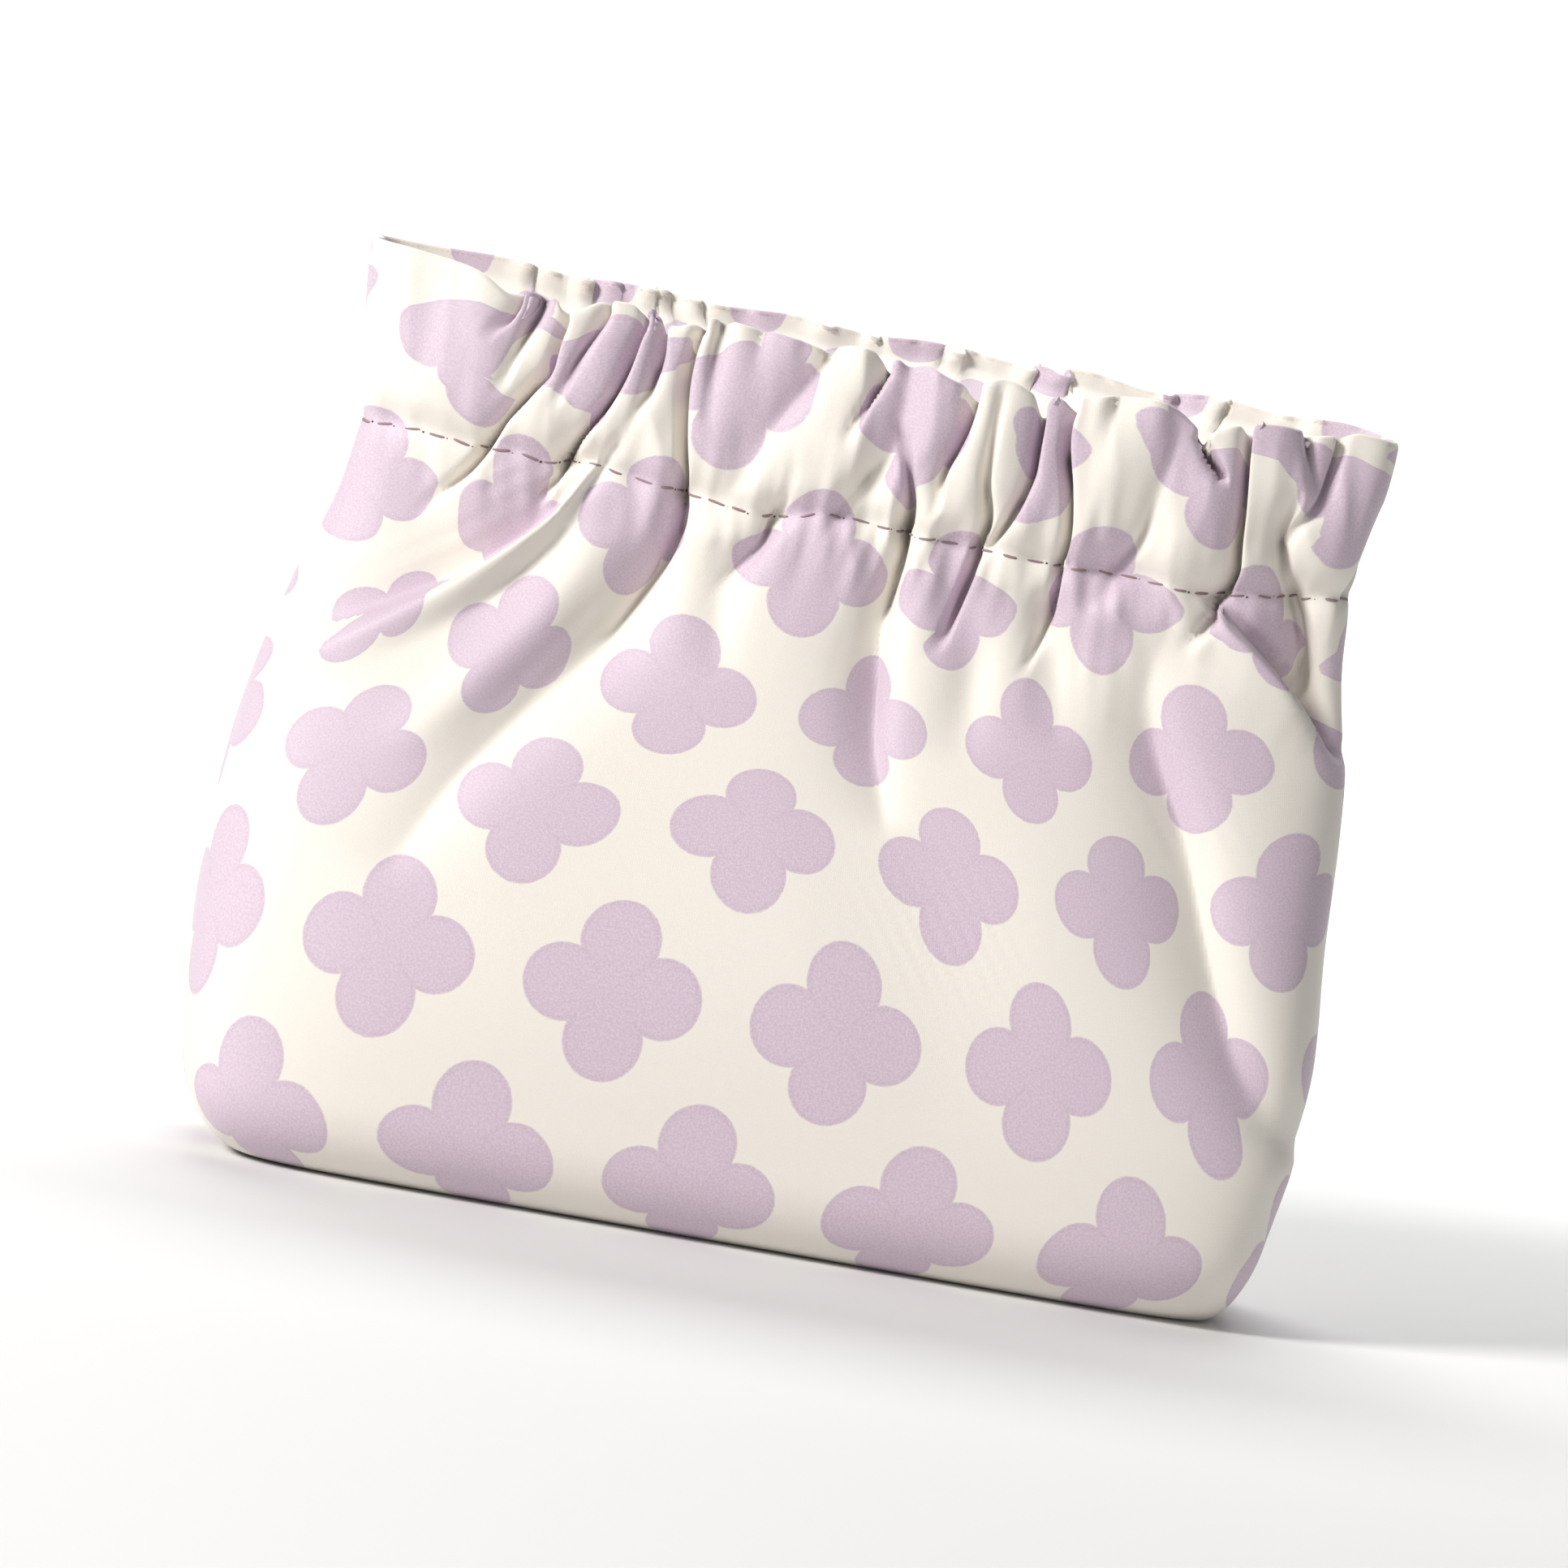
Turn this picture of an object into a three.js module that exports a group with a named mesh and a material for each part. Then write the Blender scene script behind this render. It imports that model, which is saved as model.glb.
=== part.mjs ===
// A small squeeze-top makeup pouch, standing on its boxed base with its mouth sprung shut.
//
// Two printed cloth panels meet at the side seams and along the middle of the base. Each
// panel's top edge is turned inward over the rim and stitched down, which makes a gathered
// casing with a flat spring strip inside it. The two strips press the mouth shut.
//
// Millimetres, +Z up, the front panel towards -Y. The origin is on the floor, under the
// middle of the pouch. Each panel is worked out as the front one is: x runs from its left
// seam to its right seam, depth is the distance out from the plane of the side seams, which
// is -Y, and z is the height. The back panel is such a panel turned half way round.

import * as THREE from 'three';

// Driving dimensions, in millimetres
const pouchHeight = 111;        // floor to the highest point of the rim
const casingHeight = 21.5;      // from the stitch line up to that point
const baseWidth = 133.6;        // side to side, just above the base's rounded edge
const stitchWidth = 122;        // side to side along the stitch line
const mouthWidth = 127;         // side to side along the rim
const sideBulge = 8;            // how far the belly is wider than the straight line between
const baseDepth = 41.6;         // front to back, just above the base's rounded edge
const frontBulge = 9.8;         // how far the belly is deeper than the straight line between
const baseEdgeRadius = 10;
const baseTuck = 4;             // how far the base's centre seam stops short of its outline
const mouthShift = 1.9;         // how far the mouth sits to the right of the base

const clothThickness = 1;
const seamGap = 0.3;            // between the two panels where they are sewn together
const layerGap = 0.3;           // between two layers that lie on each other
const mouthGap = 5.4;           // the slot between the two casings, at its middle

const pleatDepth = 4.8;         // how far the highest casing ridge stands out of its creases
const stitchSlack = 0.5;        // ease of the outer layer over the hem, at the stitch line
const casingSlack = 0.6;        // ease of the outer layer over the spring
const rimRoll = 2.8;            // height of the rolled edge along the rim
const rimLean = 2.2;            // how much lower the rim is at the right seam
const frontRimDrop = 1.6;       // how much lower the front rim is at its middle
const rimNotch = 1;             // how far the rim dips at a crease
const hemAllowance = 3;         // how far the turned hem runs on below the stitch line
const hemInset = 3.2;           // how far the hem's ends stop short of the side seams

const springThickness = 0.6;
const springSlack = 2;          // above and below the strip, inside its casing
const springInset = 6;          // from the strip's ends to the side seams

// Sizes that follow from them
const stitchHeight = pouchHeight - casingHeight;
const wallHeight = stitchHeight - baseEdgeRadius;
const seamFace = seamGap / 2;
const stitchStack = 2 * clothThickness + layerGap + stitchSlack;
const casingStack = 2 * clothThickness + 2 * layerGap + springThickness + casingSlack;
const rimFall = rimLean + frontRimDrop + rimNotch;
const springHeight = casingHeight - rimFall - rimRoll - 2 * springSlack;

// The wall, from the base's edge (height 0) to the stitch line (height 1). side and front
// are shares of sideBulge and frontBulge, and box is how square the section's ends are.
const GIRTH = [
  { height: 0.0, side: 0.0, front: 0.0, box: 5.0 },
  { height: 0.13, side: 0.63, front: 0.47, box: 4.6 },
  { height: 0.27, side: 0.93, front: 0.85, box: 4.0 },
  { height: 0.45, side: 1.0, front: 1.0, box: 3.4 },
  { height: 0.63, side: 0.93, front: 0.86, box: 3.0 },
  { height: 0.77, side: 0.66, front: 0.6, box: 3.0 },
  { height: 0.89, side: 0.16, front: 0.26, box: 3.8 },
  { height: 1.0, side: 0.0, front: 0.0, box: 9.0 },
];
const BELLY = 0.45;             // height of the widest section, in the same shares
const CROWN = 2.4;              // how square a section is towards the front
const SLOT_SQUARE = 4;          // how square the mouth's slot is at its ends

// Shares that shape the gathers
const RIDGE_ROUND = 0.55;       // power of a ridge's sine wave, under 1 for a broad top
const RIDGE_AT_STITCH = 0.7;    // share of a ridge's height that is left at the stitch line
const RIDGE_GROWS = 0.4;        // share of the casing over which it comes back
const CASING_OPENS = 0.1;       // share of the casing over which it widens round the spring
const SEAM_CALM = 0.07;         // share of a section next to a seam where pleats die out
const FOLDS_BEGIN = 0.08;       // share of the wall under the stitch line where folds begin
const FOLD_HEAD = 0.3;          // how far into its sine wave a fold starts
const GATHERS_SETTLE = 0.7;     // share of the wall over which the gathered cloth evens out

// Each row is one casing pleat and the crease on its right. rim and stitch place that crease
// along the rim and along the stitch line, from -1 at the left seam to 1 at the right one.
// ridge is the pleat's height as a share of pleatDepth, and run is how far it goes on below
// the stitch line, as a share of the wall's height. A pleat with no ridge is flat cloth.
const FRONT_PLEATS = [
  { rim: -0.92, stitch: -0.93, ridge: 0.0, run: 0.1 },
  { rim: -0.66, stitch: -0.71, ridge: 0.75, run: 0.16 },
  { rim: -0.47, stitch: -0.57, ridge: 0.9, run: 0.14 },
  { rim: -0.355, stitch: -0.345, ridge: 0.75, run: 0.2 },
  { rim: -0.17, stitch: -0.2, ridge: 0.9, run: 0.3 },
  { rim: -0.03, stitch: -0.03, ridge: 0.8, run: 0.2 },
  { rim: 0.135, stitch: 0.1, ridge: 0.9, run: 0.16 },
  { rim: 0.26, stitch: 0.235, ridge: 0.85, run: 0.3 },
  { rim: 0.35, stitch: 0.37, ridge: 0.7, run: 0.24 },
  { rim: 0.5, stitch: 0.5, ridge: 0.75, run: 0.2 },
  { rim: 0.64, stitch: 0.68, ridge: 0.95, run: 0.24 },
  { rim: 0.76, stitch: 0.79, ridge: 0.7, run: 0.3 },
  { rim: 0.93, stitch: 0.94, ridge: 0.55, run: 0.3 },
  { rim: 1.0, stitch: 1.0, ridge: 0.0, run: 0.1 },
];
const BACK_PLEATS = [
  { rim: -0.9, stitch: -0.91, ridge: 0.0, run: 0.1 },
  { rim: -0.74, stitch: -0.77, ridge: 0.55, run: 0.3 },
  { rim: -0.62, stitch: -0.66, ridge: 0.7, run: 0.3 },
  { rim: -0.485, stitch: -0.485, ridge: 0.95, run: 0.24 },
  { rim: -0.34, stitch: -0.36, ridge: 0.75, run: 0.2 },
  { rim: -0.25, stitch: -0.23, ridge: 0.7, run: 0.24 },
  { rim: -0.13, stitch: -0.1, ridge: 0.85, run: 0.3 },
  { rim: 0.03, stitch: 0.03, ridge: 0.9, run: 0.16 },
  { rim: 0.165, stitch: 0.195, ridge: 0.8, run: 0.2 },
  { rim: 0.345, stitch: 0.335, ridge: 0.9, run: 0.3 },
  { rim: 0.455, stitch: 0.555, ridge: 0.75, run: 0.2 },
  { rim: 0.64, stitch: 0.69, ridge: 0.9, run: 0.14 },
  { rim: 0.9, stitch: 0.91, ridge: 0.75, run: 0.16 },
  { rim: 1.0, stitch: 1.0, ridge: 0.0, run: 0.1 },
];

// Each row is one soft fold in the wall, a valley that runs from (x0, h0) by (x1, h1) to
// (x2, h2). x is a share of half the belly's width and h a share of the stitch line's
// height. depth and width are shares of the base's depth.
const FRONT_FOLDS = [
  { x0: -0.42, h0: 0.97, x1: -0.6, h1: 0.84, x2: -0.82, h2: 0.7, depth: 0.075, width: 0.14 },
  { x0: -0.29, h0: 0.98, x1: -0.37, h1: 0.8, x2: -0.64, h2: 0.48, depth: 0.09, width: 0.16 },
  { x0: 0.1, h0: 0.98, x1: 0.09, h1: 0.85, x2: 0.13, h2: 0.64, depth: 0.07, width: 0.14 },
  { x0: 0.375, h0: 0.98, x1: 0.37, h1: 0.92, x2: 0.38, h2: 0.82, depth: 0.05, width: 0.12 },
  { x0: 0.76, h0: 1.0, x1: 0.83, h1: 0.9, x2: 0.93, h2: 0.79, depth: 0.13, width: 0.16 },
  { x0: 0.57, h0: 0.8, x1: 0.7, h1: 0.57, x2: 0.93, h2: 0.29, depth: 0.08, width: 0.16 },
];
const BACK_FOLDS = [
  { x0: -0.74, h0: 1.0, x1: -0.81, h1: 0.9, x2: -0.91, h2: 0.79, depth: 0.13, width: 0.16 },
  { x0: -0.55, h0: 0.8, x1: -0.68, h1: 0.57, x2: -0.91, h2: 0.29, depth: 0.08, width: 0.16 },
  { x0: -0.37, h0: 0.98, x1: -0.36, h1: 0.92, x2: -0.37, h2: 0.82, depth: 0.05, width: 0.12 },
  { x0: -0.1, h0: 0.98, x1: -0.09, h1: 0.85, x2: -0.13, h2: 0.64, depth: 0.07, width: 0.14 },
  { x0: 0.28, h0: 0.98, x1: 0.36, h1: 0.8, x2: 0.62, h2: 0.48, depth: 0.09, width: 0.16 },
  { x0: 0.41, h0: 0.97, x1: 0.58, h1: 0.84, x2: 0.8, h2: 0.7, depth: 0.075, width: 0.14 },
];

// Where a panel's rows of mesh lie, as shares of each stretch of the cloth
const HEM_ROWS = [0, 0.35, 1];
const RIM_ROWS = [0.25, 0.5, 0.75];
const CASING_ROWS = [1, 0.7, 0.4, 0.1];
const WALL_ROWS = [1, 0.95, 0.89, 0.82, 0.73, 0.62, 0.5, 0.37, 0.24, 0.12, 0];
const EDGE_ROWS = [0.35, 0.7, 1];
const PLEAT_STEPS = 4;          // mesh columns to a pleat
const SECTION_STEPS = 360;      // points that trace a section before it is divided by length
const SPRING_STEPS = 16;
const MOST_MITRE = 1.4;         // most that the wall's inner face is set back at a crease

const mix = (a, b, t) => a + (b - a) * t;
const clamp01 = (t) => Math.min(1, Math.max(0, t));
const ease = (t) => clamp01(t) ** 2 * (3 - 2 * clamp01(t));

// One column of the GIRTH table at a height, on a smooth curve through its rows.
function girthShare(column, height) {
  const last = GIRTH.length - 1;
  const row = (i) => GIRTH[Math.min(last, Math.max(0, i))];
  let i = 0;
  while (i < last - 1 && height > GIRTH[i + 1].height) i += 1;
  const span = row(i + 1).height - row(i).height;
  const slope = (j) => (row(j + 1)[column] - row(j - 1)[column])
    / (row(j + 1).height - row(j - 1).height);
  const t = clamp01((height - row(i).height) / span);
  const start = (2 * t ** 3 - 3 * t ** 2 + 1) * row(i)[column];
  const leaving = (t ** 3 - 2 * t ** 2 + t) * span * slope(i);
  const end = (3 * t ** 2 - 2 * t ** 3) * row(i + 1)[column];
  const arriving = (t ** 3 - t ** 2) * span * slope(i + 1);
  return start + leaving + end + arriving;
}

// Half width, half depth and squareness of the pouch's section at a height.
function girthAt(z) {
  if (z > stitchHeight) {
    const up = clamp01((z - stitchHeight) / (casingHeight - rimRoll));
    return {
      halfWidth: mix(stitchWidth, mouthWidth, ease(up)) / 2,
      halfDepth: mouthGap / 2 + mix(stitchStack, casingStack, ease(up / CASING_OPENS)),
      box: girthShare('box', 1),
    };
  }
  const h = (z - baseEdgeRadius) / wallHeight;
  const width = mix(baseWidth, stitchWidth, h) + sideBulge * girthShare('side', h);
  const stitchDepth = mouthGap + 2 * stitchStack;
  const depth = mix(baseDepth, stitchDepth, h) + frontBulge * girthShare('front', h);
  return { halfWidth: width / 2, halfDepth: depth / 2, box: girthShare('box', h) };
}

// How far the pouch's middle has moved to the right at a height.
function shiftAt(z) {
  const h = (z - baseEdgeRadius) / wallHeight;
  return mouthShift * ease((h - BELLY) / (1 - BELLY));
}

// Half of the mouth's slot at x, from the plane of the side seams to the hem's face. It
// closes to the seams at the hem's ends.
function slotHalf(x) {
  const end = mouthWidth / 2 - hemInset;
  const open = Math.max(0, 1 - Math.abs(x / end) ** SLOT_SQUARE);
  return seamFace + (mouthGap / 2 - seamFace) * open;
}

// Half of a section, from the left seam round the front to the right seam, as a function of
// the share of its length. It is a superellipse, |x / a| ^ box + |depth / b| ^ CROWN = 1.
function sectionCurve({ halfWidth, halfDepth, box }) {
  const points = [];
  const lengths = [0];
  for (let i = 0; i <= SECTION_STEPS; i += 1) {
    const angle = Math.PI * (1 - i / SECTION_STEPS);
    const across = Math.cos(angle);
    const out = Math.max(0, Math.sin(angle));
    points.push(new THREE.Vector2(
      Math.sign(across) * halfWidth * Math.abs(across) ** (2 / box),
      seamFace + (halfDepth - seamFace) * (i === SECTION_STEPS ? 0 : out ** (2 / CROWN)),
    ));
    if (i > 0) lengths.push(lengths[i - 1] + points[i].distanceTo(points[i - 1]));
  }
  return (share) => {
    const target = clamp01(share) * lengths[SECTION_STEPS];
    let i = 0;
    while (i < SECTION_STEPS - 1 && lengths[i + 1] < target) i += 1;
    const along = points[i + 1].clone().sub(points[i]);
    const t = (target - lengths[i]) / (lengths[i + 1] - lengths[i]);
    const place = points[i].clone().addScaledVector(along, t);
    return { place, outward: new THREE.Vector2(-along.y, along.x).normalize() };
  };
}

// The mesh columns of a panel: their places along the rim and the stitch line, as shares of
// the section's length, and how high the pleat stands there.
function pleatColumns(pleats) {
  const columns = [{ rim: 0, stitch: 0, ridge: 0, run: pleats[0].run, crease: 0 }];
  let left = { rim: -1, stitch: -1 };
  for (const pleat of pleats) {
    for (let step = 1; step <= PLEAT_STEPS; step += 1) {
      const q = step / PLEAT_STEPS;
      const wave = step === PLEAT_STEPS ? 0 : Math.sin(Math.PI * q) ** RIDGE_ROUND;
      columns.push({
        rim: (1 + mix(left.rim, pleat.rim, q)) / 2,
        stitch: (1 + mix(left.stitch, pleat.stitch, q)) / 2,
        ridge: wave * pleat.ridge,
        run: pleat.run,
        crease: (1 - wave) * pleat.ridge,
      });
    }
    left = pleat;
  }
  return columns;
}

// How far the cloth is pushed in by the folds at (x, z). A fold is deepest along its valley,
// a little above the middle of its length.
function foldDepth(folds, x, z) {
  const halfBelly = (baseWidth + sideBulge) / 2;
  const here = new THREE.Vector2(x, z);
  let depth = 0;
  for (const fold of folds) {
    const valley = [[fold.x0, fold.h0], [fold.x1, fold.h1], [fold.x2, fold.h2]]
      .map(([across, up]) => new THREE.Vector2(across * halfBelly, up * stitchHeight));
    let strength = 0;
    for (let i = 0; i < 2; i += 1) {
      const along = valley[i + 1].clone().sub(valley[i]);
      const offset = here.clone().sub(valley[i]);
      const t = clamp01(offset.dot(along) / along.lengthSq());
      const away = offset.addScaledVector(along, -t).length() / (fold.width * baseDepth);
      const fade = Math.sin(Math.PI * mix(FOLD_HEAD, 1, (i + t) / 2));
      strength = Math.max(strength, Math.exp(-away * away) * fade);
    }
    depth += strength * fold.depth * baseDepth;
  }
  return depth;
}

// A point of the cloth's outer face above the base's edge, at a share of the section's
// length. A pleat stands out, and a fold goes in, square to the section.
function outerPoint(column, share, z, folds) {
  const below = clamp01((stitchHeight - z) / wallHeight);
  const regained = ease((z - stitchHeight) / (casingHeight * RIDGE_GROWS));
  const pinch = mix(RIDGE_AT_STITCH, 1, regained);
  const lift = column.ridge * pleatDepth * pinch * (1 - clamp01(below / column.run)) ** 2;
  const { place, outward } = sectionCurve(girthAt(z))(share);
  const dent = foldDepth(folds, place.x, z) * ease(below / FOLDS_BEGIN);
  const seamFade = ease(Math.min(share, 1 - share) / SEAM_CALM);
  place.addScaledVector(outward, (lift - dent) * seamFade);
  return new THREE.Vector3(place.x, -place.y, z);
}

// The outer face of a whole panel, as rows of points: up the turned hem, over the rim, down
// the casing and the wall, and under to the base's centre seam.
function panelRows({ pleats, folds, rimDrop, turned }) {
  const columns = pleatColumns(pleats);
  const crest = columns.map((column) => {
    const rightward = turned ? 1 - column.rim : column.rim;
    const fall = rimLean * rightward + rimDrop * Math.sin(Math.PI * column.rim)
      + rimNotch * column.crease;
    const z = pouchHeight - rimRoll - fall;
    return outerPoint(column, column.rim, z, folds);
  });
  const hemTop = columns.map((column, i) => {
    const x = (2 * column.rim - 1) * (mouthWidth / 2 - hemInset);
    return new THREE.Vector3(x, -slotHalf(x), crest[i].z);
  });

  const hem = HEM_ROWS.map((t) => hemTop.map((top) => {
    const z = mix(stitchHeight - hemAllowance, top.z, t);
    const narrowing = girthAt(z).halfWidth / (mouthWidth / 2);
    return new THREE.Vector3(top.x * Math.min(1, narrowing), top.y, z);
  }));
  const rim = RIM_ROWS.map((t) => crest.map((point, i) => {
    const over = hemTop[i].clone().lerp(point, (1 - Math.cos(Math.PI * t)) / 2);
    over.z += rimRoll * Math.sin(Math.PI * t);
    return over;
  }));
  const casing = CASING_ROWS.map((t) => columns.map((column, i) => {
    const z = mix(stitchHeight, crest[i].z, t);
    return outerPoint(column, mix(column.stitch, column.rim, t), z, folds);
  }));

  // Below the stitch line a column moves from its place in the gathers to its place in the
  // flat cloth, which is its share of the gathered row's own length.
  const gathered = casing[casing.length - 1];
  const lengths = [0];
  for (let i = 1; i < gathered.length; i += 1) {
    lengths.push(lengths[i - 1] + gathered[i].distanceTo(gathered[i - 1]));
  }
  const inCloth = lengths.map((length) => length / lengths[lengths.length - 1]);
  const wall = WALL_ROWS.map((t) => {
    const z = mix(baseEdgeRadius, stitchHeight, t);
    const settled = ease((1 - t) / GATHERS_SETTLE);
    return columns.map((column, i) => (
      outerPoint(column, mix(column.stitch, inCloth[i], settled), z, folds)));
  });

  const edge = EDGE_ROWS.map((t) => {
    const bend = t * Math.PI / 2;
    const inset = baseEdgeRadius * (1 - Math.cos(bend));
    const girth = girthAt(baseEdgeRadius);
    girth.halfWidth -= inset;
    girth.halfDepth -= inset;
    const curve = sectionCurve(girth);
    return inCloth.map((share) => {
      const { place } = curve(share);
      return new THREE.Vector3(place.x, -place.y, baseEdgeRadius * (1 - Math.sin(bend)));
    });
  });

  const outline = edge[edge.length - 1];
  const shortening = 1 - baseTuck / Math.abs(outline[0].x);
  const centre = outline.map((point) => new THREE.Vector3(point.x * shortening, -seamFace, 0));
  const rows = [...hem, ...rim, ...casing, ...wall, ...edge, centre];
  for (const point of rows.flat()) point.x += (turned ? -1 : 1) * shiftAt(point.z);
  return rows;
}

// The direction in which the cloth's outer face looks at a point of the rows, and how far
// its inner face is set back there for each millimetre of thickness. A hem looks across the
// mouth and a base looks down. Along the side seams, and along the base seam, the cloth's
// cut edge stays in the plane of the seam.
function facing(rows, r, c) {
  const lastRow = rows.length - 1;
  const lastColumn = rows[0].length - 1;
  if (r < HEM_ROWS.length) return { out: new THREE.Vector3(0, 1, 0), setBack: 1 };
  if (r >= lastRow - 1) return { out: new THREE.Vector3(0, 0, -1), setBack: 1 };

  const out = new THREE.Vector3();
  let faces = 0;
  for (const [i, j] of [[r - 1, c - 1], [r - 1, c], [r, c - 1], [r, c]]) {
    if (j >= 0 && j < lastColumn) {
      const falling = rows[i + 1][j + 1].clone().sub(rows[i][j]);
      const rising = rows[i][j + 1].clone().sub(rows[i + 1][j]);
      out.add(falling.cross(rising).normalize());
      faces += 1;
    }
  }
  const setBack = Math.min(MOST_MITRE, faces / out.length());
  if (c > 0 && c < lastColumn) return { out: out.normalize(), setBack };
  out.y = 0;
  return { out: out.normalize(), setBack: 1 };
}

// A closed sheet of cloth from the rows of its outer face.
function clothSheet(rows) {
  const lastRow = rows.length - 1;
  const lastColumn = rows[0].length - 1;
  const outer = rows.flat();
  const inner = rows.flatMap((row, r) => row.map((point, c) => {
    const { out, setBack } = facing(rows, r, c);
    return point.clone().addScaledVector(out, -setBack * clothThickness);
  }));

  const vertex = (r, c, isInner) => (isInner ? outer.length : 0) + r * (lastColumn + 1) + c;
  const faces = [];
  const quad = (...corners) => {
    const [a, b, c, d] = corners.map(([r, column, isInner]) => vertex(r, column, isInner));
    faces.push(a, b, c, a, c, d);
  };
  for (let r = 0; r < lastRow; r += 1) {
    for (let c = 0; c < lastColumn; c += 1) {
      quad([r, c, false], [r + 1, c, false], [r + 1, c + 1, false], [r, c + 1, false]);
      quad([r, c, true], [r, c + 1, true], [r + 1, c + 1, true], [r + 1, c, true]);
    }
    quad([r, 0, false], [r, 0, true], [r + 1, 0, true], [r + 1, 0, false]);
    quad([r, lastColumn, false], [r + 1, lastColumn, false],
      [r + 1, lastColumn, true], [r, lastColumn, true]);
  }
  for (let c = 0; c < lastColumn; c += 1) {
    quad([0, c, false], [0, c + 1, false], [0, c + 1, true], [0, c, true]);
    quad([lastRow, c, false], [lastRow, c, true],
      [lastRow, c + 1, true], [lastRow, c + 1, false]);
  }

  const geometry = new THREE.BufferGeometry();
  geometry.setFromPoints([...outer, ...inner]);
  geometry.setIndex(faces);
  geometry.computeVertexNormals();
  return geometry;
}

// A flat spring strip, bowed with the hem that it lies behind. Its outline in plan is run up
// through the height of the casing's pocket.
function springStrip() {
  const halfLength = mouthWidth / 2 - springInset;
  const nearMouth = [];
  const nearCloth = [];
  for (let i = 0; i <= SPRING_STEPS; i += 1) {
    const x = mix(-halfLength, halfLength, i / SPRING_STEPS);
    const depth = slotHalf(x) + clothThickness + layerGap;
    nearMouth.push(new THREE.Vector2(x, -depth));
    nearCloth.push(new THREE.Vector2(x, -depth - springThickness));
  }
  const plan = new THREE.Shape([...nearMouth, ...nearCloth.reverse()]);
  return new THREE.ExtrudeGeometry(plan, { depth: springHeight, bevelEnabled: false });
}

const printedCloth = () => new THREE.MeshStandardMaterial({
  color: new THREE.Color(0.86, 0.8, 0.8),
  roughness: 0.6,
  metalness: 0,
});

const springSteel = () => new THREE.MeshStandardMaterial({
  color: new THREE.Color(0.62, 0.63, 0.65),
  roughness: 0.35,
  metalness: 1,
});

// One side of the pouch: its panel and the spring in the panel's casing.
function pouchSide(name, shape) {
  const panel = new THREE.Mesh(clothSheet(panelRows(shape)), printedCloth());
  panel.name = `${name}_panel`;
  const spring = new THREE.Mesh(springStrip(), springSteel());
  spring.name = `${name}_spring`;
  spring.position.x = shape.turned ? -mouthShift : mouthShift;
  spring.position.z = stitchHeight + springSlack;
  const side = new THREE.Group();
  side.add(panel, spring);
  side.rotation.z = shape.turned ? Math.PI : 0;
  return side;
}

const pouch = new THREE.Group();
pouch.add(
  pouchSide('front', {
    pleats: FRONT_PLEATS,
    folds: FRONT_FOLDS,
    rimDrop: frontRimDrop,
    turned: false,
  }),
  pouchSide('back', {
    pleats: BACK_PLEATS,
    folds: BACK_FOLDS,
    rimDrop: 0,
    turned: true,
  }),
);

export default pouch;
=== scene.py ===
"""A small squeeze-top makeup pouch, dressed over its solids.

The pouch is two printed cloth panels. Each runs from the seam along the middle of the base,
round the base's edge, up the wall and the gathered casing, over the rim and down inside as
the turned hem. A panel is worked out as the front one is seen: x to the right, depth out
from the plane of the side seams, and z up, all in millimetres. It becomes metres, and takes
its own side of the pouch, only when its mesh is made.
"""
import logging
import math
from dataclasses import dataclass, replace
from enum import Enum

import bmesh
import bpy
import numpy as np
from mathutils import Matrix, Vector


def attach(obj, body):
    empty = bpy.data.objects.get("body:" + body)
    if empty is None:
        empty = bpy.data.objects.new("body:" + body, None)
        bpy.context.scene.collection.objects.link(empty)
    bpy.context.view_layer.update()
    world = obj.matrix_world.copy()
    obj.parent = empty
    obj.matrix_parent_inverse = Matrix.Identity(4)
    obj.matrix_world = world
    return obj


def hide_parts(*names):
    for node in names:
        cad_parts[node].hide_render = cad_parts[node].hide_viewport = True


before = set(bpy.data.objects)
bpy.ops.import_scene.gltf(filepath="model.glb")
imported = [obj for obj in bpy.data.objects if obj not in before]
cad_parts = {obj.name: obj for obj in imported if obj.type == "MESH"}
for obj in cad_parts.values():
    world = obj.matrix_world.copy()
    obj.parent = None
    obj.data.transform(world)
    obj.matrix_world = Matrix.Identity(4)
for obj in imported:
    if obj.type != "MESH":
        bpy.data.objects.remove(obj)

MM = 0.001
Array = np.ndarray
Colour = tuple[float, float, float, float]
Path = tuple[tuple[float, float, float], ...]

HOOK_FROM, HOOK_OVER = 102.0, 6.0
SLOT_SPREAD = 1.3
HIDDEN_REACH = 8.0
DEEP_POWER, DEEP_CUT = 1.2, 0.66

log = logging.getLogger("pouch")


class Side(Enum):
    """The two sides of the pouch. The value is the way that the side faces along Y."""

    FRONT = -1
    BACK = 1

    @property
    def word(self) -> str:
        """The side's name, as the solids have it."""
        return self.name.lower()


def ease(t: Array | float) -> Array:
    """A smooth step from 0 to 1 as t goes from 0 to 1: three t squared less two t cubed."""
    t = np.clip(t, 0.0, 1.0)
    return t * t * (3 - 2 * t)


def smooth_curve(at: Array, knots: Array, values: Array) -> Array:
    """A smooth curve through a short table, held level past its two ends.

    Between two knots it is the cubic that has the table's own slopes, which are taken from
    the neighbouring rows, at both of them.

    Args:
        at: where the curve is wanted.
        knots: the table's places, rising.
        values: the table's values at those places.

    Returns:
        The curve's values, in the shape of at.
    """
    knots = np.asarray(knots, float)
    values = np.asarray(values, float)
    slopes = np.gradient(values, knots)
    at = np.clip(at, knots[0], knots[-1])
    i = np.clip(np.searchsorted(knots, at) - 1, 0, len(knots) - 2)
    span = knots[i + 1] - knots[i]
    t = (at - knots[i]) / span
    start = (1 + 2 * t) * (1 - t) ** 2 * values[i] + t * (1 - t) ** 2 * span * slopes[i]
    end = t * t * (3 - 2 * t) * values[i + 1] + t * t * (t - 1) * span * slopes[i + 1]
    return start + end


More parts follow.
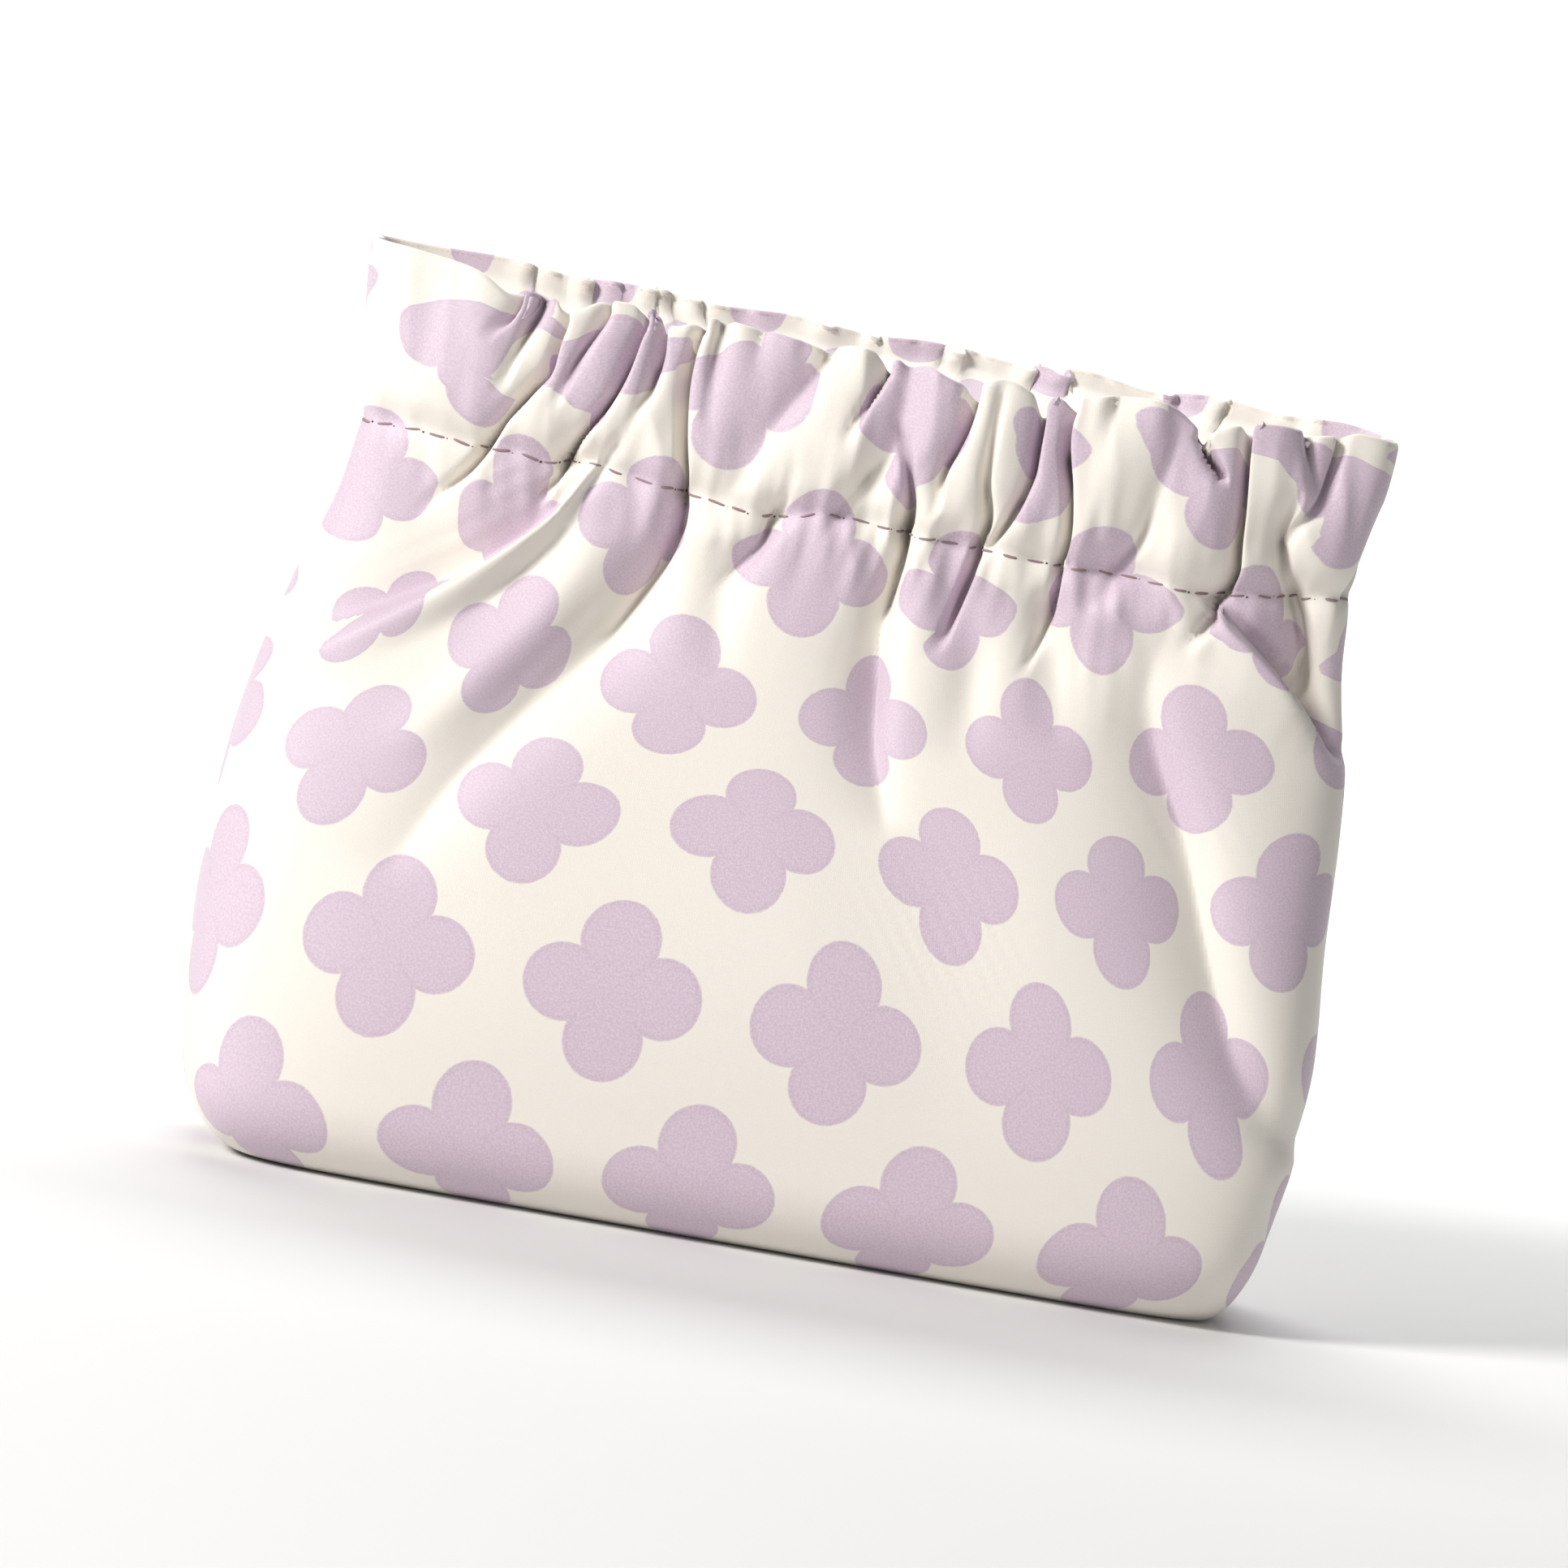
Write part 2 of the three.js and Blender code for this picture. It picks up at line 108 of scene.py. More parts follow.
def smooth_noise(x: Array, y: Array, cell: tuple[float, float], seed: int) -> Array:
    """Soft random relief between -1 and 1: random heights on a lattice, eased between.

    Args:
        x: places across, in millimetres.
        y: places along, in millimetres, in the shape of x.
        cell: the lattice's spacing along x and y.
        seed: picks the random heights.

    Returns:
        The heights, in the shape of x.
    """
    size = 64
    heights = np.random.default_rng(seed).uniform(-1, 1, (size, size))
    gx, gy = x / cell[0], y / cell[1]
    ix, iy = np.floor(gx).astype(int), np.floor(gy).astype(int)
    fx, fy = ease(gx - ix), ease(gy - iy)
    ix, iy = ix % size, iy % size
    jx, jy = (ix + 1) % size, (iy + 1) % size
    low = heights[ix, iy] * (1 - fx) + heights[jx, iy] * fx
    high = heights[ix, jy] * (1 - fx) + heights[jx, jy] * fx
    return low * (1 - fy) + high * fy


def read_rows(at: Array, places: Array, values: Array) -> Array:
    """Reads each row of values at places of its own, in a straight line between two values.

    All the rows are laid end to end, far apart, and read in one interpolation.

    Args:
        at: the places wanted, with one row for each row of values.
        places: where the values lie, rising along each row.
        values: one value for each of those places.

    Returns:
        The values, in the shape of at.
    """
    apart = 1000.0 * np.arange(len(places))[:, None]
    flat = np.interp((at + apart).ravel(), (places + apart).ravel(), values.ravel())
    return flat.reshape(len(places), -1)


def through_columns(values: Array, place: Array) -> Array:
    """A smooth curve through each row of values, which lie one unit apart from 0 on.

    Between two values it is the cubic that has the row's own mean slopes at both of them.

    Args:
        values: one row for each curve.
        place: where each curve is read, with as many rows.

    Returns:
        The curves' values, in the shape of place.
    """
    slopes = np.gradient(values, axis=1)
    i = np.clip(np.floor(place).astype(int), 0, values.shape[1] - 2)
    t = place - i
    first, second = (np.take_along_axis(values, i + k, 1) for k in (0, 1))
    leaving, coming = (np.take_along_axis(slopes, i + k, 1) for k in (0, 1))
    start = (1 + 2 * t) * (1 - t) ** 2 * first + t * (1 - t) ** 2 * leaving
    return start + t * t * (3 - 2 * t) * second + t * t * (t - 1) * coming


@dataclass(frozen=True)
class PouchSizes:
    """The pouch's sizes in millimetres, as the solids have them."""

    height: float = 111.0
    casing_height: float = 21.5
    base_width: float = 133.6
    stitch_width: float = 122.0
    mouth_width: float = 127.0
    side_bulge: float = 8.0
    base_depth: float = 41.6
    front_bulge: float = 9.8
    edge_radius: float = 10.0
    mouth_shift: float = 1.9
    mouth_gap: float = 5.4
    casing_stack: float = 3.8
    stitch_stack: float = 2.8
    ridge: float = 5.0
    hem_allowance: float = 3.0
    hem_inset: float = 3.2
    spring_stack: float = 1.9
    belly: float = 0.45
    cloth: float = 0.7
    seam_face: float = 0.04
    seam_allowance: float = 6.0

    @property
    def stitch_height(self) -> float:
        """Height of the stitch line."""
        return self.height - self.casing_height

    @property
    def wall_height(self) -> float:
        """From the top of the base's rounded edge to the stitch line."""
        return self.stitch_height - self.edge_radius

    def shift(self, z: Array) -> Array:
        """How far the pouch's middle has moved to the right at height z."""
        h = (z - self.edge_radius) / self.wall_height
        return self.mouth_shift * ease((h - self.belly) / (1 - self.belly))

    def slot_half(self, x: Array) -> Array:
        """Half of the mouth's slot at x, which closes to the seams at the hem's ends."""
        end = self.mouth_width / 2 - self.hem_inset
        spread = np.maximum(0, 1 - np.abs(x / end) ** 4)
        return self.seam_face + (self.mouth_gap / 2 - self.seam_face) * spread


@dataclass(frozen=True)
class GirthRow:
    """The wall's section at one height, as shares of the pouch's sizes.

    height runs from 0 at the base's edge to 1 at the stitch line. side and front are shares
    of the two bulges. box and crown say how square the section is at its sides and front.
    """

    height: float
    side: float
    front: float
    box: float
    crown: float


GIRTH = (
    GirthRow(0.00, 0.00, 0.00, 8.0, 4.6),
    GirthRow(0.13, 0.63, 0.47, 7.0, 4.2),
    GirthRow(0.27, 0.93, 0.85, 6.4, 3.8),
    GirthRow(0.45, 1.00, 1.00, 5.6, 3.4),
    GirthRow(0.63, 0.93, 0.86, 5.0, 3.0),
    GirthRow(0.77, 0.66, 0.60, 4.6, 2.7),
    GirthRow(0.89, 0.16, 0.26, 5.0, 2.5),
    GirthRow(1.00, 0.00, 0.00, 9.0, 2.4),
)


@dataclass(frozen=True)
class Section:
    """The pouch's half sections at a column of heights, traced by their own length.

    x, depth: places along each section, from the left seam round the front.
    across, out: the section's own direction and the way that it faces, as (x, depth) pairs.
    """

    x: Array
    depth: Array
    across: tuple[Array, Array]
    out: tuple[Array, Array]

    @classmethod
    def at(cls, sizes: PouchSizes, z: Array, samples: int) -> "Section":
        """Traces the sections at the heights z.

        A section is a superellipse: the share of half the width to the power box, and the
        share of half the depth to the power crown, add up to one.

        Args:
            sizes: the pouch's sizes.
            z: heights, one for each section.
            samples: places along each section.

        Returns:
            The sections, with one row for each height.
        """
        z = z[:, None]
        h = np.clip((z - sizes.edge_radius) / sizes.wall_height, 0, 1)
        up = np.clip((z - sizes.stitch_height) / (sizes.casing_height - 2.8), 0, 1)
        heights = [row.height for row in GIRTH]

        def share(column: str) -> Array:
            return smooth_curve(h, heights, [getattr(row, column) for row in GIRTH])

        width = (sizes.base_width + (sizes.stitch_width - sizes.base_width) * h
                 + sizes.side_bulge * share("side")
                 + (sizes.mouth_width - sizes.stitch_width) * ease(up))
        stitch_depth = sizes.mouth_gap + 2 * sizes.stitch_stack
        depth = (sizes.base_depth + (stitch_depth - sizes.base_depth) * h
                 + sizes.front_bulge * share("front")
                 + 2 * (sizes.casing_stack - sizes.stitch_stack) * ease(up * 5))
        angle = np.linspace(-math.pi / 2, math.pi / 2, samples)[None, :]
        swing = np.sin(angle)
        x = width / 2 * swing
        reach = depth / 2 - sizes.seam_face
        fall = np.clip(1 - np.abs(swing) ** share("box"), 0, 1)
        out = sizes.seam_face + reach * fall ** (1 / share("crown"))

        steps = np.hypot(np.diff(x, axis=1), np.diff(out, axis=1))
        length = np.concatenate([np.zeros_like(z), np.cumsum(steps, axis=1)], axis=1)
        wanted = length[:, -1:] * np.linspace(0, 1, samples)
        x, out = read_rows(wanted, length, x + 0 * z), read_rows(wanted, length, out)
        dx, dd = np.gradient(x, axis=1), np.gradient(out, axis=1)
        norm = np.hypot(dx, dd)
        return cls(x, out, (dx / norm, dd / norm), (-dd / norm, dx / norm))


@dataclass(frozen=True)
class Crease:
    """A valley in the cloth, read off the photograph from the front.

    path: its line as (x, height, depth) rows, from the top down.
    left, right: how far its two flanks reach.
    power: 1 for a sharp crease between full ridges, 2 for a soft valley.
    lean: how far its bottom is pushed to the right, as a share of its depth.
    cut: the share of its depth that is a narrow slot, and slot the slot's half width.
    fade: the length over which it dies out past each end.
    hook: how much more it leans at the rim.
    hidden: how much higher the print is on its right than on its left.
    """

    path: Path
    left: float
    right: float
    power: float = 1.0
    lean: float = 0.0
    cut: float = 0.0
    slot: float = 0.6
    fade: float = 4.0
    hook: float = 0.0
    hidden: float = 0.0

    def relief(self, x: Array, z: Array) -> tuple[Array, Array]:
        """How deep the crease is at (x, z), and how far the cloth is pushed sideways there.

        Each flank falls off as e to the minus (distance / reach) ** power, and the slot as
        e to the minus (distance / spread slot) ** 4. It leans further from the hook's
        height up to the rim.
        """
        away, depth = self._from_line(x, z)
        reach = np.where(away < 0, self.left, self.right)
        away = np.abs(away)
        flank = np.exp(-(away / reach) ** self.power)
        slot = np.exp(-(away / (SLOT_SPREAD * self.slot)) ** 4)
        depth = depth * ((1 - self.cut) * flank + self.cut * slot)
        return depth, (self.lean + self.hook * ease((z - HOOK_FROM) / HOOK_OVER)) * depth

    def hidden_print(self, x: Array, z: Array) -> Array:
        """How far the print's rows are raised beside the crease, by the cloth that it hides.

        Right of the crease it is half of the hidden length and left of it minus as much,
        and both fall off as e to the minus (distance / reach).
        """
        away, depth = self._from_line(x, z)
        share = depth / max(row[2] for row in self.path)
        return np.sign(away) * self.hidden / 2 * share * np.exp(-np.abs(away) / HIDDEN_REACH)

    def _from_line(self, x: Array, z: Array) -> tuple[Array, Array]:
        """How far right of the crease's line each place is, and the line's depth there.

        Past its two ends the line goes straight on while its depth fades.
        """
        xs, zs, depths = np.array(self.path[::-1]).T
        inside = np.clip(z, zs[0] + 0.5, zs[-1] - 0.5)
        slope = smooth_curve(inside + 0.5, zs, xs) - smooth_curve(inside - 0.5, zs, xs)
        centre = smooth_curve(inside, zs, xs) + slope * (z - inside)
        ends = ease((z - zs[0]) / self.fade + 1) * ease((zs[-1] - z) / self.fade + 1)
        return (x - centre) / np.sqrt(1 + slope ** 2), smooth_curve(z, zs, depths) * ends

    def seen_from_behind(self, stretch: float) -> "Crease":
        """The same crease on a panel that faces the other way, a little to one side."""
        path = tuple((-x * stretch + 0.9 * math.sin(0.21 * x), z, d) for x, z, d in self.path)
        return replace(self, path=path, left=self.right, right=self.left, lean=-self.lean,
                       hook=-self.hook, hidden=-self.hidden)


def deep(path: Path, left: float, right: float, lean: float = 0.0, slot: float = 0.6,
         fade: float = 3.0, hook: float = 0.0) -> Crease:
    """A sharp crease whose lips nearly meet over a narrow dark slot."""
    return Crease(path, left, right, DEEP_POWER, lean, DEEP_CUT, slot, fade, hook)


CASING_CREASES = (
    Crease(((-51, 110, 0.7), (-52, 105, 0.9), (-53, 99, 0.6)), 4.5, 3.0, 2.0),
    Crease(((-44.6, 110, 4.0), (-45, 107, 3.2), (-46, 104, 0.8)),
           1.5, 1.1, 1.1, 0.5, 0.5, 0.5, 2.0, 0.5),
    Crease(((-41.3, 110, 3.4), (-42, 106, 3.4), (-43.5, 99.5, 1.4)), 2.0, 1.5, 1.2, 0.3, 0.3),
    deep(((-38.2, 110, 4.2), (-38.7, 106, 4.4), (-39, 101, 4.6), (-41, 97, 4.8),
          (-43, 93.5, 5.0), (-44.5, 89.5, 4.4), (-46.5, 86.2, 3.2), (-49, 83, 1.6)),
         3.0, 0.7, 0.5, 0.5, 3.0, 0.4),
    Crease(((-34, 110, 3.8), (-34.3, 107, 3.6), (-35.5, 103, 2.2), (-36.5, 99, 1.0)),
           1.5, 1.2, 1.1, 0.4, 0.5, 0.5, 4.0, 0.4),
    deep(((-29, 110, 4.2), (-29.4, 107, 4.4), (-29.7, 103, 4.4), (-31.5, 97, 4.2),
          (-33, 94, 4.4), (-35, 89.5, 4.2), (-37, 86, 1.6)), 2.6, 0.7, 0.45, 0.45, 3.0, 0.4),
    Crease(((-27, 110, 3.4), (-26.5, 105, 3.8), (-26.7, 100, 2.6), (-27.5, 97, 1.0)),
           1.3, 1.2, 1.1, 0.3, 0.5, 0.5, 2.5, 0.4),
    Crease(((-28.5, 93.5, 0.9), (-29.3, 91.5, 1.8), (-29.6, 89, 2.6), (-31.4, 84.5, 1.8),
            (-34, 81, 0.8)), 1.4, 2.2, 1.1, 0.2, 0.3),
    deep(((-21.4, 110, 4.6), (-22.4, 106, 4.6), (-22.6, 102, 4.8), (-22, 97, 4.8),
          (-21.3, 93.5, 5.0), (-20.3, 90, 5.2), (-19.8, 87, 4.8), (-20.3, 82, 3.6),
          (-22, 77, 2.4), (-25, 71, 1.2)), 2.8, 1.0, 0.4, 0.55),
    Crease(((-18.6, 109, 2.2), (-18.9, 105, 2.4), (-18.8, 100, 1.2)), 1.6, 2.2, 1.3, 0.0, 0.3),
    Crease(((-14, 110, 1.8), (-14.2, 107, 1.4), (-14.4, 104, 0.6)), 1.4, 1.6, 1.3),
    Crease(((-5.6, 110, 3.0), (-7, 107, 3.0), (-9, 103, 2.8), (-12, 97, 2.2),
            (-13.5, 93, 1.2)), 3.2, 2.0, 1.3, 0.3, 0.2),
    Crease(((-7.6, 92.5, 0.8), (-8.2, 89, 3.0), (-9.2, 85.5, 2.2), (-11.5, 81, 1.0)),
           2.2, 1.6, 1.1, 0.0, 0.4),
    deep(((1.4, 110, 3.4), (0.8, 107, 3.8), (-0.4, 103.5, 3.0), (-1.6, 100, 1.2)),
         2.0, 0.9, 0.35, 0.45, 2.5),
    Crease(((4.2, 108, 2.0), (4.3, 103, 2.4), (3.8, 98, 2.8), (2.2, 95, 3.0),
            (0.4, 92, 2.4), (-0.8, 89.5, 1.2)), 2.0, 2.4, 1.2),
    deep(((5.2, 99.5, 1.0), (6.2, 95.5, 3.0), (7.1, 92, 4.4), (7.2, 88, 4.6),
          (6.6, 84, 3.4), (6.2, 80, 2.0)), 2.0, 0.9, 0.3, 0.45),
    deep(((12, 110, 4.6), (11.5, 104.5, 5.0), (10.6, 100.5, 4.2), (9.9, 97, 2.4),
          (10.1, 94, 1.2)), 2.2, 0.8, 0.4, 0.5),
    deep(((15.2, 106, 1.0), (15.1, 101, 1.8), (15.2, 97, 2.6), (16, 93, 4.6),
          (15.6, 88, 5.2), (15.1, 83.5, 4.0), (14.2, 78, 1.8)), 2.4, 0.9, 0.35, 0.5),
    deep(((19.7, 110, 4.4), (20.1, 105, 4.8), (20, 98, 4.4), (18.5, 92.5, 2.4),
          (17.2, 89.5, 1.0)), 1.9, 0.7, 0.4, 0.5),
    deep(((24.2, 110, 4.6), (23.4, 106.5, 4.6), (24, 102, 4.8), (25, 98, 4.6),
          (26, 93, 3.8), (25.9, 88, 3.6), (26, 82, 2.4), (25, 77, 1.2)),
         2.2, 0.7, 0.45, 0.5, 3.0, 0.3),
    Crease(((29.5, 110, 1.6), (29.3, 107, 1.2), (29, 104, 0.5)), 1.4, 1.6, 1.3),
    Crease(((37.4, 106, 0.8), (36.3, 99, 1.8), (35.5, 94, 2.6), (33.6, 90.5, 3.0),
            (32, 86.5, 1.6)), 3.0, 2.0, 1.4, 0.1, 0.2),
    deep(((38.8, 110, 3.4), (40.6, 107, 3.8), (42.6, 103.5, 2.6)), 1.4, 0.8, 0.35, 0.4, 2.0),
    deep(((44.8, 110, 4.0), (45.2, 105.5, 4.8), (45.8, 100, 5.0), (46.2, 95, 5.0),
          (46.4, 90, 5.2), (44.8, 87, 4.4), (43, 83, 1.0)), 2.2, 0.8, 0.45, 0.55),
    Crease(((52.6, 110, 2.6), (53.6, 107, 2.4), (54.8, 104, 1.2)),
           1.6, 1.4, 1.1, 0.0, 0.3, 0.5, 2.5),
    Crease(((57.6, 110, 3.2), (57.4, 105.5, 3.4), (55.9, 100.5, 2.2), (53, 97, 1.6)),
           1.7, 2.4, 1.1, -0.2, 0.3, 0.5, 3.0),
    Crease(((52.3, 101, 1.2), (51.3, 97.5, 3.0), (52.3, 93, 4.2), (54.6, 89, 5.0),
            (57.4, 83.5, 5.4), (60, 78.5, 5.4), (62.6, 74.6, 4.0), (65, 71.4, 1.4)),
           3.2, 1.8, 1.2, 0.4, 0.4, 0.8, 2.0),
    deep(((64, 100, 2.0), (63.2, 97, 3.4), (62.2, 93.5, 3.4), (61.2, 90, 1.6)),
         1.6, 0.8, 0.2, 0.4, 2.0),
)

WALL_FOLDS = (
    Crease(((-53, 90, 0.8), (-52, 85, 1.3), (-50, 79, 0.8)), 4.5, 4.0, 2.0),
    Crease(((-32.4, 88, 1.6), (-36.2, 82.6, 3.2), (-42.4, 77, 4.0), (-49, 72.4, 3.8),
            (-58.6, 66.4, 2.2)), 5.0, 1.0, 1.2, 0.6, hidden=-7.0),
    Crease(((-30.2, 89, -1.2), (-33, 84, -2.6), (-40.4, 76.2, -3.0), (-48, 70.2, -2.6),
            (-58.6, 62.6, -1.2)), 1.2, 4.0, 1.6, 0.6),
    Crease(((-29.2, 87, 1.0), (-31.8, 81.5, 2.8), (-37, 75, 2.8), (-42.6, 69.8, 1.9),
            (-49, 65, 0.8)), 2.0, 3.2, 1.3),
    Crease(((-29, 80, -0.8), (-34, 71, -1.6), (-40, 63, -1.4), (-46, 55, -0.6)),
           3.0, 3.0, 2.0),
    Crease(((-19.8, 88, 1.6), (-22, 78, 4.2), (-26, 69, 4.2), (-32.5, 61, 3.4),
            (-41, 50, 2.4), (-46, 41, 1.2)), 4.2, 3.6, 1.25),
    Crease(((-11.5, 83, 1.1), (-13, 77, 1.6), (-12.5, 71, 0.8)), 3.0, 2.4, 1.6),
    Crease(((6.8, 84, 2.0), (5.8, 77, 4.0), (6.4, 69, 4.2), (7.4, 63, 3.0),
            (10, 56, 1.4)), 3.2, 2.2, 1.2, 0.3),
    Crease(((17, 82, 1.0), (18.5, 74, 1.6), (18.5, 66, 0.8)), 3.4, 3.0, 1.8),
    Crease(((26, 83, 1.8), (27.5, 77, 1.8), (29, 70, 0.9)), 3.2, 3.0, 1.6),
    Crease(((40, 82, 0.8), (39.6, 74.5, 2.2), (41, 69.5, 3.6), (43.2, 65, 4.0),
            (47, 58, 4.2), (51.6, 47, 3.8), (54.6, 40, 3.6), (59, 32, 2.8), (65, 25, 1.6)),
           4.8, 3.2, 1.2, 0.2),
    Crease(((44, 87, -0.8), (50, 82, -2.2), (55.6, 77.2, -2.6), (60, 74, -1.4),
            (64, 71, -0.2)), 5.0, 1.0, 1.2, -0.7, fade=1.5),
    Crease(((46.5, 88, 1.2), (52, 83.6, 3.0), (57, 79.4, 4.0), (61.4, 75.4, 4.2),
            (65.4, 71.8, 2.4)), 0.9, 3.2, 1.2, -0.4, 0.5, 0.6, 2.0, hidden=7.0),
)


@dataclass(frozen=True)
class Ripple:
    """A patch of fine parallel wrinkles, where the cloth is drawn tight.

    x, z: the patch's middle. reach: its radius. wave: from one wrinkle to the next.
    angle: the wrinkles' direction, in degrees from level. height: how far they rise.
    """

    x: float
    z: float
    reach: float
    wave: float
    angle: float
    height: float

    def relief(self, x: Array, z: Array) -> Array:
        """The wrinkles' height at (x, z): a sine across them under a round bell."""
        turn = math.radians(self.angle)
        along = (x - self.x) * math.cos(turn) + (z - self.z) * math.sin(turn)
        across = (z - self.z) * math.cos(turn) - (x - self.x) * math.sin(turn)
        bell = np.exp(-((along / 1.7) ** 2 + across ** 2) / self.reach ** 2)
        wander = 0.35 * np.sin(along / 3.1) + 0.6 * np.sin(across / 2.3)
        return self.height * bell * np.sin(2 * math.pi * across / self.wave + wander)


RIPPLES = (
    Ripple(20, 42, 7.5, 1.7, -54, 0.17),
    Ripple(-40, 85, 4.0, 2.2, 38, 0.22),
    Ripple(-47, 77, 4.5, 2.4, 33, 0.12),
    Ripple(5, 84, 4.5, 2.3, 82, 0.20),
    Ripple(30, 82, 5.0, 2.6, 96, 0.14),
    Ripple(47, 60, 5.0, 2.4, -50, 0.08),
    Ripple(-28, 66, 6.0, 2.6, 55, 0.08),
)


@dataclass(frozen=True)
class PanelLook:
    """What sets one panel apart from the other: its creases, rim and stitch line.

    rim: heights of the rim as (x, height) rows.
    stitches: heights of the stitch line as (x, height) rows.
    rim_calm: the share of the creases' depth that is lost at the rim.
    """

    creases: tuple[Crease, ...]
    rim: tuple[tuple[float, float], ...]
    stitches: tuple[tuple[float, float], ...]
    seed: int
    rim_calm: float = 0.0


FRONT_LOOK = PanelLook(
    creases=CASING_CREASES + WALL_FOLDS,
    rim=((-63, 112.2), (-55, 111.6), (-48, 110.4), (-44, 108.6), (-41, 109.8), (-37, 107.9),
         (-33, 109.8), (-28.5, 109.9), (-24, 108.4), (-21, 110), (-15, 110), (-8, 109.6),
         (-2, 110), (5, 109.6), (11.5, 108), (16, 109.4), (20, 108.3), (24, 108.6),
         (30, 109.8), (36, 109.9), (41, 107.6), (45, 109), (50, 109.7), (55, 109.2),
         (60, 110.2), (66, 109.6)),
    stitches=((-60, 90.2), (-54, 90.6), (-46.5, 90), (-39, 89.9), (-36, 89.4),
              (-32, 90.4), (-28, 89.9), (-20, 88.9), (-15.7, 88.5), (-8, 88),
              (-3.5, 89.2), (1, 89.5), (7, 88.9), (17.5, 88.6), (28.5, 88.3),
              (35.5, 88.6), (44, 88), (48, 88.5), (53, 89), (62.5, 90.2)),
    seed=3,
)

BACK_LOOK = PanelLook(
    creases=tuple(c.seen_from_behind(0.97) for c in CASING_CREASES + WALL_FOLDS),
    rim=((-66, 109.6), (-60, 110.4), (-52, 110), (-44, 110.6), (-36, 109.8), (-28, 110.8),
         (-19, 110.2), (-10, 111), (0, 110.6), (9, 111.2), (18, 110.8), (27, 111.6),
         (36, 111.2), (45, 112), (54, 111.9), (63, 112.2)),
    stitches=((-62.5, 90.2), (-50, 89), (-38, 89.6), (-25, 88.8), (-12, 89.4),
              (0, 88.8), (13, 89.5), (26, 88.9), (40, 89.7), (60, 90.2)),
    seed=11,
    rim_calm=0.6,
)


GATHER_ACROSS = ((-62, 0.45), (-56, 0.68), (-50, 0.86), (-44, 0.97), (-40, 1.0), (56, 1.0),
                 (62, 0.7), (66, 0.3))
GATHER_UP = ((56, 0.0), (70, 0.12), (79, 0.32), (85, 0.58), (89.5, 0.72), (94, 0.9),
             (100, 1.0), (112, 1.0))
LOWEST = ((84, -3.0), (88, -1.2), (91, -0.8), (101.5, -0.8), (104, -1.8), (109, -2.6))


@dataclass
class ClothRelaxer:
    """Settles a sheet of cloth that is a grid of points, by moving pairs of them.

    Each pass brings neighbours back to the distance that the flat cloth has between them,
    along the rows, the columns and both diagonals, and keeps the two flanks of a crease
    apart. The sheet is drawn weakly towards the shape it began with.

    across, along: the flat cloth's lengths between neighbours in a row and in a column.
    stretch, shear, bend: how strongly its threads, its diagonals and its curves are held.
    hold: the pull towards the first shape. slack: the strength left against being pressed.
    gap: how near two flanks of a crease may come, tested that many columns apart.
    """

    across: Array
    along: Array
    passes: int = 60
    stretch: float = 0.8
    shear: float = 0.2
    bend: float = 0.004
    hold: float = 0.03
    slack: float = 0.12
    gap: float = 0.8
    gap_columns: tuple[int, ...] = (8, 12, 18)
    gap_strength: float = 0.4

    def _pull(self, a: Array, b: Array, rest: Array | float, free_a: Array, free_b: Array,
              strength: float, only_apart: bool = False) -> None:
        """Moves the points a and b, in place, towards the distance rest from each other."""
        line = b - a
        length = np.sqrt((line ** 2).sum(-1, keepdims=True)) + 1e-9
        excess = 1 - rest / length
        if only_apart:
            excess = np.minimum(excess, 0)
        else:
            excess = np.where(excess < 0, excess * self.slack, excess)
        move = line * (excess * strength / np.maximum(free_a + free_b, 1e-6))
        a += move * free_a
        b -= move * free_b

    def settle(self, start: Array, free: Array, floor: Array) -> Array:
        """Lets the cloth settle.

        Args:
            start: the sheet's points, with a row for each height.
            free: how freely each point moves, from 0 for a pinned one to 1.
            floor: the least depth that each point may have.

        Returns:
            The settled points.
        """
        points = start.copy()
        free = free[..., None]
        along = self.along[..., None]
        across = self.across[..., None]
        slant = np.hypot((across[1:] + across[:-1]) / 2, (along[:, 1:] + along[:, :-1]) / 2)
        for _ in range(self.passes):
            for first in (0, 1):
                self._pull(points[:, first:-1:2], points[:, first + 1::2], across[:, first::2],
                           free[:, first:-1:2], free[:, first + 1::2], self.stretch)
                self._pull(points[first:-1:2], points[first + 1::2], along[first::2],
                           free[first:-1:2], free[first + 1::2], self.stretch)
                rest = slant[first::2]
                self._pull(points[first:-1:2, :-1], points[first + 1::2, 1:], rest,
                           free[first:-1:2, :-1], free[first + 1::2, 1:], self.shear)
                self._pull(points[first:-1:2, 1:], points[first + 1::2, :-1], rest,
                           free[first:-1:2, 1:], free[first + 1::2, :-1], self.shear)
            self._bend(points, free)
            for reach in self.gap_columns:
                self._pull(points[:, :-reach], points[:, reach:], self.gap, free[:, :-reach],
                           free[:, reach:], self.gap_strength, only_apart=True)
            points += (start - points) * self.hold * free
            points[..., 1] = np.maximum(points[..., 1], floor)
        return points

    def _bend(self, points: Array, free: Array) -> None:
        """Eases each point towards the middle of its neighbours, along rows and columns."""
        middle = (points[:, :-2] + points[:, 2:]) / 2
        points[:, 1:-1] += (middle - points[:, 1:-1]) * self.bend * free[:, 1:-1]
        middle = (points[:-2] + points[2:]) / 2
        points[1:-1] += (middle - points[1:-1]) * self.bend * free[1:-1]


